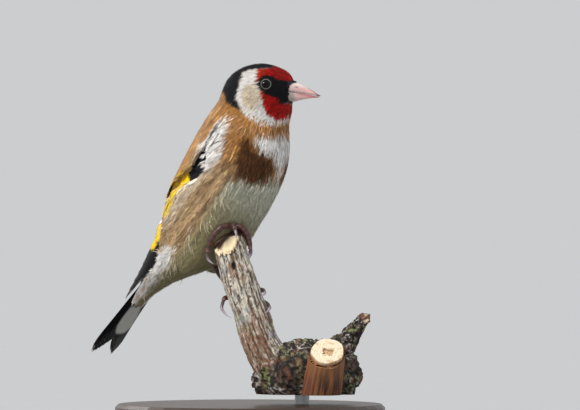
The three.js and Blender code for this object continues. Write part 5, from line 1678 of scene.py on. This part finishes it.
def branch_mesh():
    """Points, faces, shares along, the reliefs of the side, and what the break did."""
    p, f, along, angle = tube(perch_point(*BRANCH[:, :3].T), BRANCH[:, 3], 300, 150, branch_shape)
    round_it = np.stack([np.cos(angle), np.sin(angle)], axis=1) * GRAIN_WIDTH
    grain = ripples(np.column_stack([round_it, along * 4]), 0.8, 5)
    fine = ripples(np.column_stack([round_it, along * 14]), 0.5, 4, 9.0)
    coarse = ripples(p, 7.0, 3, 4.0)
    hole = np.exp(-(((p @ RIGHT - HOLE[0]) / 1.0) ** 2) - (((p[:, 2] - HOLE[1]) / 1.6) ** 2))
    hole = hole * (p @ FRONT > 9)
    p = moved_out(p, f, 0.3 + 0.28 * grain + 0.16 * fine + 0.35 * coarse - 1.1 * hole)
    run = unit(perch_point(*BRANCH[0, :3]) - perch_point(*BRANCH[1, :3]))
    splinter = np.abs(ripples(np.column_stack([round_it * 1.6, p @ run * 0.1]), 0.9, 3))
    broken = np.zeros(len(p))
    for centre, normal in BREAKS:
        n = perch_way(*normal)
        over = (p - perch_point(*centre)) @ n
        pressed = np.clip(over + BREAK_START, 0, None) - SPLINTER_LENGTH * splinter
        p = p - run * (np.where(over > -BREAK_START, pressed, 0) / (run @ n))[:, None]
        broken = np.maximum(broken, ease(-0.6, 0.0, over))
    frayed_h = p @ RIGHT + 0.5 * ripples(p, 1.4, 3, 2.0)
    frayed_z = p[:, 2] + 0.5 * ripples(p, 1.4, 3, 5.0)
    torn = patch(TORN_FACE, frayed_h, frayed_z, 0.25)
    p = p - run * (broken * (1 - torn) * (0.7 + 0.6 * ripples(p, 1.2, 3, 6.0)))[:, None]
    return p, f, along, (grain, fine, coarse, hole), (broken, torn)


p, f, along, reliefs, break_shares = branch_mesh()
print("bare branch:", len(p), "points, of which broken:", int((break_shares[0] > 0.5).sum()))

# %% [markdown]
# Old bare wood is grey and white, with brown grain, dark specks, rust round the hole and a breath of green
# on its shaded side. Low down, where bark was lost last, it is redder. The hole is painted nearly black
# inside, as painted shade, and the hollowed break dark brown, partly its own colour and partly painted
# shade. One painted picture could hold all that, but noise at several sizes gives the same kind of surface
# from any side.

# %% Colours of the branch
WOOD_GREY, WOOD_WHITE, WOOD_BROWN = colour("6f6355"), colour("e2dacb"), colour("6f4e33")
WOOD_BLUE, WOOD_SPECK, WOOD_CRACK = colour("a5adb3"), colour("2a201a"), colour("2e221a")
HOLE_RUST, HOLE_PAINTED_SHADE, WOOD_GREEN = colour("8a4a24"), colour("1d1511"), colour("6f7a3c")
BARK_RED, BARK_PINK = colour("6e3b24"), colour("b98a68")
BROKEN_BROWN_AND_SHADE, TORN_CREAM = colour("54371f"), colour("f3e2bd")
BARE_WOOD = finish("weathered_wood", vary=0.14, scale=1100, roughness=(0.7, 0.9), bump=0.55, reach=0.0002,
                   stretch=(1, 1, 0.2))


def noisy(p, low, high, size, octaves, seed, flat=1.0):
    """A share 0..1 that noise gives, drawn out upward where flat is less than 1."""
    return ease(low, high, ripples(p * [1, 1, flat], size, octaves, seed))


def branch_tint(p, along, reliefs, break_shares):
    (grain, fine, coarse, hole), (broken, torn) = reliefs, break_shares
    h, z = p @ RIGHT, p[:, 2]
    tint = blend(WOOD_GREY, WOOD_WHITE, ease(-0.4, 0.35, grain + 0.6 * fine))
    tint = blend(tint, WOOD_BROWN, 0.7 * noisy(p, 0.05, 0.5, 2.2, 4, 13.0, 0.4))
    tint = blend(tint, WOOD_BLUE, 0.6 * noisy(p, 0.2, 0.5, 3.0, 3, 17.0, 0.5))
    tint = blend(tint, WOOD_SPECK, 0.85 * noisy(p, 0.3, 0.6, 0.8, 3, 19.0, 0.6))
    tint = blend(tint, WOOD_CRACK, 0.8 * ease(-0.1, -0.6, fine) * ease(0.1, -0.3, grain))
    near_hole = np.exp(-(((h - HOLE[0] - 1.5) / 2.6) ** 2) - (((z - HOLE[1] + 1.0) / 5.0) ** 2))
    tint = blend(tint, HOLE_RUST, 0.6 * near_hole * noisy(p, -0.1, 0.4, 1.6, 3, 23.0))
    # the hole's inside is painted nearly black: painted shade
    tint = blend(tint, HOLE_PAINTED_SHADE, ease(0.25, 0.6, hole))
    left = ease(2.0, -3.0, h - np.interp(z, BRANCH[::-1, 1], BRANCH[::-1, 0]))
    above_hole = np.exp(-((z - HOLE[1] - 2.3) / 1.0) ** 2) * (left < 0.5)
    green = np.clip(left * ease(0.45, 0.6, along) + above_hole, 0, 1)
    tint = blend(tint, WOOD_GREEN, 0.55 * green * noisy(p, -0.1, 0.35, 1.3, 4, 29.0))
    low = ease(0.5, 0.72, along + 0.08 * coarse) * ease(5.0, 2.5, h - 6.0 * along + 1.5)
    tint = blend(tint, BARK_RED, 0.85 * low * ease(0.6, -0.3, fine))
    tint = blend(tint, BARK_PINK, 0.5 * low * ease(0.1, 0.5, grain))
    splinters = np.clip(ripples(p * [1, 1, 0.3], 0.9, 3, 31.0), -1, 1)
    # the broken end is dark brown, partly its own weathered colour and partly painted shade in its hollow
    tint = blend(tint, BROKEN_BROWN_AND_SHADE + 0.08 * splinters[:, None], broken)
    return blend(tint, TORN_CREAM, broken * torn)


branch = make_mesh("bare_branch", p, f, BARE_WOOD, branch_tint(p, along, reliefs, break_shares))
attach(branch, "root")
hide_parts("perch_branch")
print("bare branch made")

# %% [markdown]
# Bark breaks into small upright plates with narrow gaps. A cell noise gives the plates, warped so that no
# two are alike, and fine noise roughens them. The cracks are nearly black, the ridges brown, and here and
# there sit flecks of grey and green lichen.

# %% Bark
PLATE_SIZE = 1.9
BARK_BLACK, BARK_BROWN, BARK_RUST = colour("16110f"), colour("5a4c43"), colour("7a4f3a")
BARK_GREY, LICHEN_GREY, LICHEN_GREEN = colour("938a80"), colour("c4bdb6"), colour("84935c")
BARK = finish("flaky_bark", vary=0.25, scale=1300, roughness=(0.8, 0.95), bump=0.8, reach=0.0003)


def flakes(p, seed):
    """Upright ridges and plates of bark with narrow gaps, as heights of about -1..1."""
    warp = p + 0.8 * np.stack([ripples(p, 4.0, 3, seed + k) for k in range(3)], axis=1)
    cells = warp * np.array([1.0, 1.0, 0.5]) / PLATE_SIZE
    nearest = np.array([noise.voronoi(Vector(q), distance_metric="DISTANCE")[0][:2] for q in cells])
    gap = nearest[:, 1] - nearest[:, 0]
    return ease(0.02, 0.4, gap) * 1.3 - 1 + 0.6 * ripples(p, 1.2, 4, seed + 9)


def bark_tint(p, relief, seed):
    tint = blend(BARK_BLACK, BARK_BROWN, ease(-0.6, 0.5, relief))
    tint = blend(tint, BARK_RUST, 0.7 * noisy(p, 0.2, 0.5, 2.4, 3, seed + 7, 0.5))
    fleck = noisy(p, 0.1, 0.4, 1.1, 4, seed) * noisy(p, -0.4, 0.1, 8.0, 2, seed + 3)
    lichen = blend(LICHEN_GREY, LICHEN_GREEN, noisy(p, -0.25, 0.2, 6.0, 3, seed + 5))
    tint = blend(tint, lichen, 0.8 * fleck)
    return blend(tint, BARK_GREY, 0.5 * ease(0.2, 0.7, relief))


print("bark heights at three points:", flakes(np.eye(3) * 4, 2.0).round(2))

# %% [markdown]
# The knot is a swollen ball of wood where the branches met. It could be sculpted, but it is a ball with
# slanting ridges, made of rings, and the bark's plates are raised on it. Below, it ends flat on the saw cut.

# %% Knot
KNOT_PLACE = (20.2, 17.4, 4.0)  # h, z, q of its middle
KNOT_SIZE = (17.6, 12.4, 12.2)
KNOT_ROWS, KNOT_AROUND = 110, 190
PERCH_FOOT = 11.6


def knot_mesh():
    polar = np.linspace(0.03, math.pi - 0.03, KNOT_ROWS)[:, None]
    turn = np.linspace(0, 2 * math.pi, KNOT_AROUND, endpoint=False)[None]
    c, s = np.cos(polar), np.sin(polar)
    ridges = 1 + 0.05 * np.sin(7 * turn + 4 * c) + 0.04 * np.sin(11 * turn - 6 * c) * s
    k = ridges * (1 + 0.05 * np.sin(3 * turn + 2) * np.sin(2 * polar))
    (h, z, q), (wide, tall, deep) = KNOT_PLACE, KNOT_SIZE
    p = perch_point(h + k * wide * s * np.cos(turn), z + k * tall * c, q + k * deep * s * np.sin(turn))
    p = np.concatenate([p.reshape(-1, 3), [perch_point(h, z + tall, q), perch_point(h, z - tall, q)]])
    faces = turned_over(capped_faces(KNOT_ROWS, KNOT_AROUND))
    relief = flakes(p, 2.0)
    p = moved_out(p, faces, 0.6 * relief - 0.45)
    p[:, 2] = np.maximum(p[:, 2], PERCH_FOOT)
    return p, faces, relief


p, f, relief = knot_mesh()
knot = make_mesh("bark_knot", p, f, BARK, bark_tint(p, relief, 3.0))
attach(knot, "root")
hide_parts("perch_knot")
print("knot:", len(p), "points")

# %% [markdown]
# A thick branch was sawn off here. Its side is a tube whose upper end is pressed flat onto the slanting
# cut. The sawn face is a piece of its own, made of rings, so that it can dip into a worn square hole and
# carry the year rings. The wood under it starts a little lower, out of the hole's way.

# %% Stub
STUB_FACE = perch_point(27.4, 27.2, 17.4)
STUB_CUT = perch_way(0.06, 0.76, 0.65)
STUB_RUN = perch_way(0.16, 0.95, 0.27)
STUB_LENGTH = 27.0
STUB_RADIUS = 6.3
STUB_SPREAD = 1.3  # of the radius at its foot
STUB_HOLLOW = 1.3
HOLE_DIP, RIM_DIP = 0.9, 1.7
DISC_RINGS, DISC_AROUND = 60, 120
YEAR_RINGS = 34
STUB_DARK, STUB_BROWN = colour("2c1810"), colour("8e5a33")
STUB_RED, STUB_PALE = colour("7a4630"), colour("b57d4a")
CUT_CREAM, CUT_RING, CUT_STAIN = colour("f3e7cd"), colour("d8b88a"), colour("c69a68")
HOLE_PALE, HOLE_BROWN = colour("b98a55"), colour("6b4526")
CUT_WOOD = finish("sawn_wood", vary=0.12, scale=1600, roughness=(0.65, 0.85), bump=0.4)


def stub_shape(t, angle, length):
    return 1 + 0.03 * np.sin(2 * angle + 5 * t) + 0.025 * np.sin(5 * angle)


def stub_side():
    line = np.array([STUB_FACE - STUB_RUN * STUB_LENGTH, STUB_FACE + STUB_RUN * STUB_RADIUS])
    p, f, along, angle = tube(line, [STUB_RADIUS * STUB_SPREAD, STUB_RADIUS], 190, 110, stub_shape)
    fibres = ripples(np.stack([np.cos(angle) * 6, np.sin(angle) * 6, along * 2], axis=1), 0.8, 5, 7.0)
    p = moved_out(p, f, 0.3 * fibres - 0.25)
    over = (p - STUB_FACE) @ STUB_CUT
    p = p - STUB_RUN * (np.clip(over + STUB_HOLLOW, 0, None) / (STUB_RUN @ STUB_CUT))[:, None]
    p[:, 2] = np.maximum(p[:, 2], PERCH_FOOT)
    tint = blend(STUB_DARK, STUB_BROWN, ease(-0.4, 0.5, fibres))
    tint = blend(tint, STUB_RED, 0.6 * ease(24.5, 22.0, p @ RIGHT))
    return p, f, blend(tint, STUB_PALE, 0.35 * ease(-9, -1, over))


def sawn_disc():
    """The sawn face, as rings that dip towards a worn square hole and bend down at the rim."""
    one = unit(np.cross(STUB_CUT, STUB_RUN))
    two = np.cross(STUB_CUT, one) / (STUB_RUN @ STUB_CUT)
    share = np.linspace(0.015, 1, DISC_RINGS)[:, None]
    turn = np.linspace(0, 2 * math.pi, DISC_AROUND, endpoint=False)[None]
    edge = STUB_RADIUS * (0.95 + 0.02 * np.sin(2 * turn + 5) + 0.02 * np.sin(5 * turn))
    u, v = (share * edge * np.cos(turn)).ravel(), (share * edge * np.sin(turn)).ravel()
    share = np.repeat(share, DISC_AROUND)
    p = STUB_FACE + u[:, None] * one + v[:, None] * two
    square = np.maximum(np.abs(u + 0.3), np.abs(v - 0.4) * 1.2) + 0.5 * ripples(p, 1.3, 3, 8.0)
    hole = ease(2.0, 1.3, square)
    relief = 0.16 + 0.05 * np.sin(u * 6) + 0.14 * ripples(p, 1.1, 4, 5.0)
    relief = relief - HOLE_DIP * hole - RIM_DIP * ease(0.95, 1, share)
    p = p + STUB_CUT * relief[:, None]
    middle = [(0, k, k + 1, -1) for k in range(1, DISC_AROUND - 1)]
    faces = np.concatenate([grid_faces(DISC_RINGS, DISC_AROUND), middle])
    years = 0.5 + 0.5 * np.sin(share * YEAR_RINGS + 1.5 * ripples(p, 4, 2, 1.0))
    tint = blend(CUT_CREAM, CUT_RING, 0.35 * years)
    tint = blend(tint, CUT_STAIN, 0.6 * noisy(p, 0.15, 0.5, 1.6, 4, 12.0))
    tint = blend(tint, STUB_BROWN, 0.9 * ease(0.955, 0.985, share))
    tint = blend(tint, HOLE_PALE, 0.7 * hole)
    brink = ease(0.25, 0.7, hole) * ease(0.95, 0.7, hole)
    return p, faces, blend(tint, HOLE_BROWN, 0.8 * brink)


p, f, tint = stub_side()
stub = make_mesh("stub_side", p, f, CUT_WOOD, tint)
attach(stub, "root")
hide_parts("perch_stub")
p, f, tint = sawn_disc()
sawn_face = make_mesh("stub_face", p, f, CUT_WOOD, tint)
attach(sawn_face, "root")
print("stub and its sawn face made")

# %% [markdown]
# The last twig still has its bark, which thins towards the tip, and there the paler inner wood shows. It is
# a tube like the branch, with the knot's bark raised on it.

# %% Twig
TWIG = np.array([
    (24.5, 19.0, 2.5, 7.6), (31.5, 27.0, 2.5, 6.2), (36.0, 32.4, 3.0, 4.4), (39.0, 36.6, 3.4, 3.2),
    (41.6, 39.0, 3.6, 2.2),
])
INNER_BROWN, INNER_PALE = colour("6d4636"), colour("d9c7a8")


def twig_shape(t, angle, length):
    return 1 + 0.09 * np.sin(4 * angle + 11 * t) + 0.07 * np.sin(7 * angle - 17 * t)


p, f, along, _ = tube(perch_point(*TWIG[:, :3].T), TWIG[:, 3], 170, 90, twig_shape)
relief = flakes(p, 6.0)
p = moved_out(p, f, (0.5 * relief - 0.3) * (1 - 0.6 * along))
inner = blend(INNER_BROWN, INNER_PALE, noisy(p, 0.0, 0.35, 2.2, 3, 15.0))
tint = blend(bark_tint(p, relief, 8.0), inner, ease(0.9, 0.97, along))
twig = make_mesh("bark_twig", p, f, BARK, tint)
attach(twig, "root")
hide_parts("perch_twig")
print("perch made")

# %% [markdown]
# The stand is turned dark wood with a steel pin. Its solids already have the right shape, so they stay,
# and only get a finish and a slightly rounded edge.

# %% Stand
EDGE_ROUNDING = 0.3  # millimetres
STAND_WOOD = finish("oiled_wood", tint=colour("3a281d"), vary=0.35, scale=160, roughness=(0.32, 0.5),
                    bump=0.12, stretch=(0.3, 3.0, 1.0), Coat_Weight=0.2, Coat_Roughness=0.25)
STEEL = finish("brushed_steel", tint=colour("a9abad"), vary=0.08, scale=1800, roughness=(0.22, 0.38),
               bump=0.08, stretch=(1, 1, 0.05), Metallic=1.0)
for node, material in (("stand_base", STAND_WOOD), ("stand_rod", STEEL)):
    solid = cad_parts[node]
    solid.data.materials.clear()
    solid.data.materials.append(material)
    rounding = solid.modifiers.new("rounding", "BEVEL")
    rounding.width = EDGE_ROUNDING * MM
    rounding.segments = 3
    print(node, "finished in", material.name)

# %% [markdown]
# The photograph was taken level with the bird, from its right side and a little from the front, through a
# long lens, so that lines hardly converge. A camera without perspective would come near, but a real lens far
# away comes nearer. It stands two metres off, and its lens is worked out from the width of the frame at the
# bird.

# %% Camera
MIDDLE_H, MIDDLE_Z = 14.2, 78.6  # millimetres, of the frame's middle in the perch's plane
FRAME_WIDTH = 205.9
CAMERA_AWAY = 2000.0
SENSOR = 36.0
camera_data = bpy.data.cameras.new("camera")
camera_data.sensor_width = SENSOR
camera_data.lens = SENSOR * CAMERA_AWAY / FRAME_WIDTH
camera_data.clip_end = 50
camera = bpy.data.objects.new("camera", camera_data)
bpy.context.scene.collection.objects.link(camera)
target = Vector(perch_point(MIDDLE_H, MIDDLE_Z, 0) * MM)
camera.location = Vector(perch_point(MIDDLE_H, MIDDLE_Z, CAMERA_AWAY) * MM)
camera.rotation_euler = (target - camera.location).to_track_quat("-Z", "Y").to_euler()
bpy.context.scene.camera = camera
print("lens:", round(camera_data.lens, 1), "mm")

# %% [markdown]
# Light comes mostly from above and from the left of the view, as on the bird in the sun. The lamps are
# suns, so that the floor is lit evenly everywhere, and they are broad, so that shadows stay soft. The floor's
# colour is worked out from the light that falls on it: it then looks just as bright as the surround, and no
# horizon shows behind the bird.

# %% Lights and surround
SKY = np.array([0.60, 0.61, 0.62])
LAMPS = {
    # where it stands (h, z, q), strength, colour, width in degrees
    "key_light": ((-0.50, 0.74, 0.46), 2.5, (1.0, 0.96, 0.90), 9),
    "rim_light": ((-0.62, 0.50, -0.60), 0.7, (1.0, 0.98, 0.95), 14),
}
on_floor = np.zeros(3)
for name, (place, strength, tint, width) in LAMPS.items():
    way = perch_way(*place)
    light = bpy.data.lights.new(name, "SUN")
    light.energy = strength
    light.color = tint
    light.angle = math.radians(width)
    lamp = bpy.data.objects.new(name, light)
    bpy.context.scene.collection.objects.link(lamp)
    lamp.location = Vector(way)
    lamp.rotation_euler = Vector(-way).to_track_quat("-Z", "Y").to_euler()
    on_floor += strength * way[2] * np.array(tint) / math.pi

surround = bpy.data.worlds.new("surround")
surround.use_nodes = True
background = surround.node_tree.nodes["Background"]
background.inputs["Color"].default_value = (*SKY, 1)
background.inputs["Strength"].default_value = 1.0
bpy.context.scene.world = surround
bpy.context.scene.view_settings.view_transform = "Standard"
print("light that falls on the floor, beside the surround's:", on_floor.round(3))

# %% [markdown]
# The floor is a plain sheet that ends far behind the bird. A curved backdrop is the usual way to hide where
# a floor ends, but with the colour worked out as above a flat one shows no edge.

# %% Floor
FLOOR_HALF = 60000.0
floor_paint = finish("pale_floor", tint=SKY / (SKY + on_floor), vary=0.015, scale=30, roughness=(0.85, 0.95),
                     bump=0.02, Specular_IOR_Level=0.0)
corners = [(x * FLOOR_HALF, y * FLOOR_HALF, 0) for x, y in ((-1, -1), (1, -1), (1, 1), (-1, 1))]
floor = make_mesh("floor", corners, [(0, 1, 2, 3)], floor_paint, smooth=False)
print("floor:", 2 * FLOOR_HALF * MM, "metres wide")
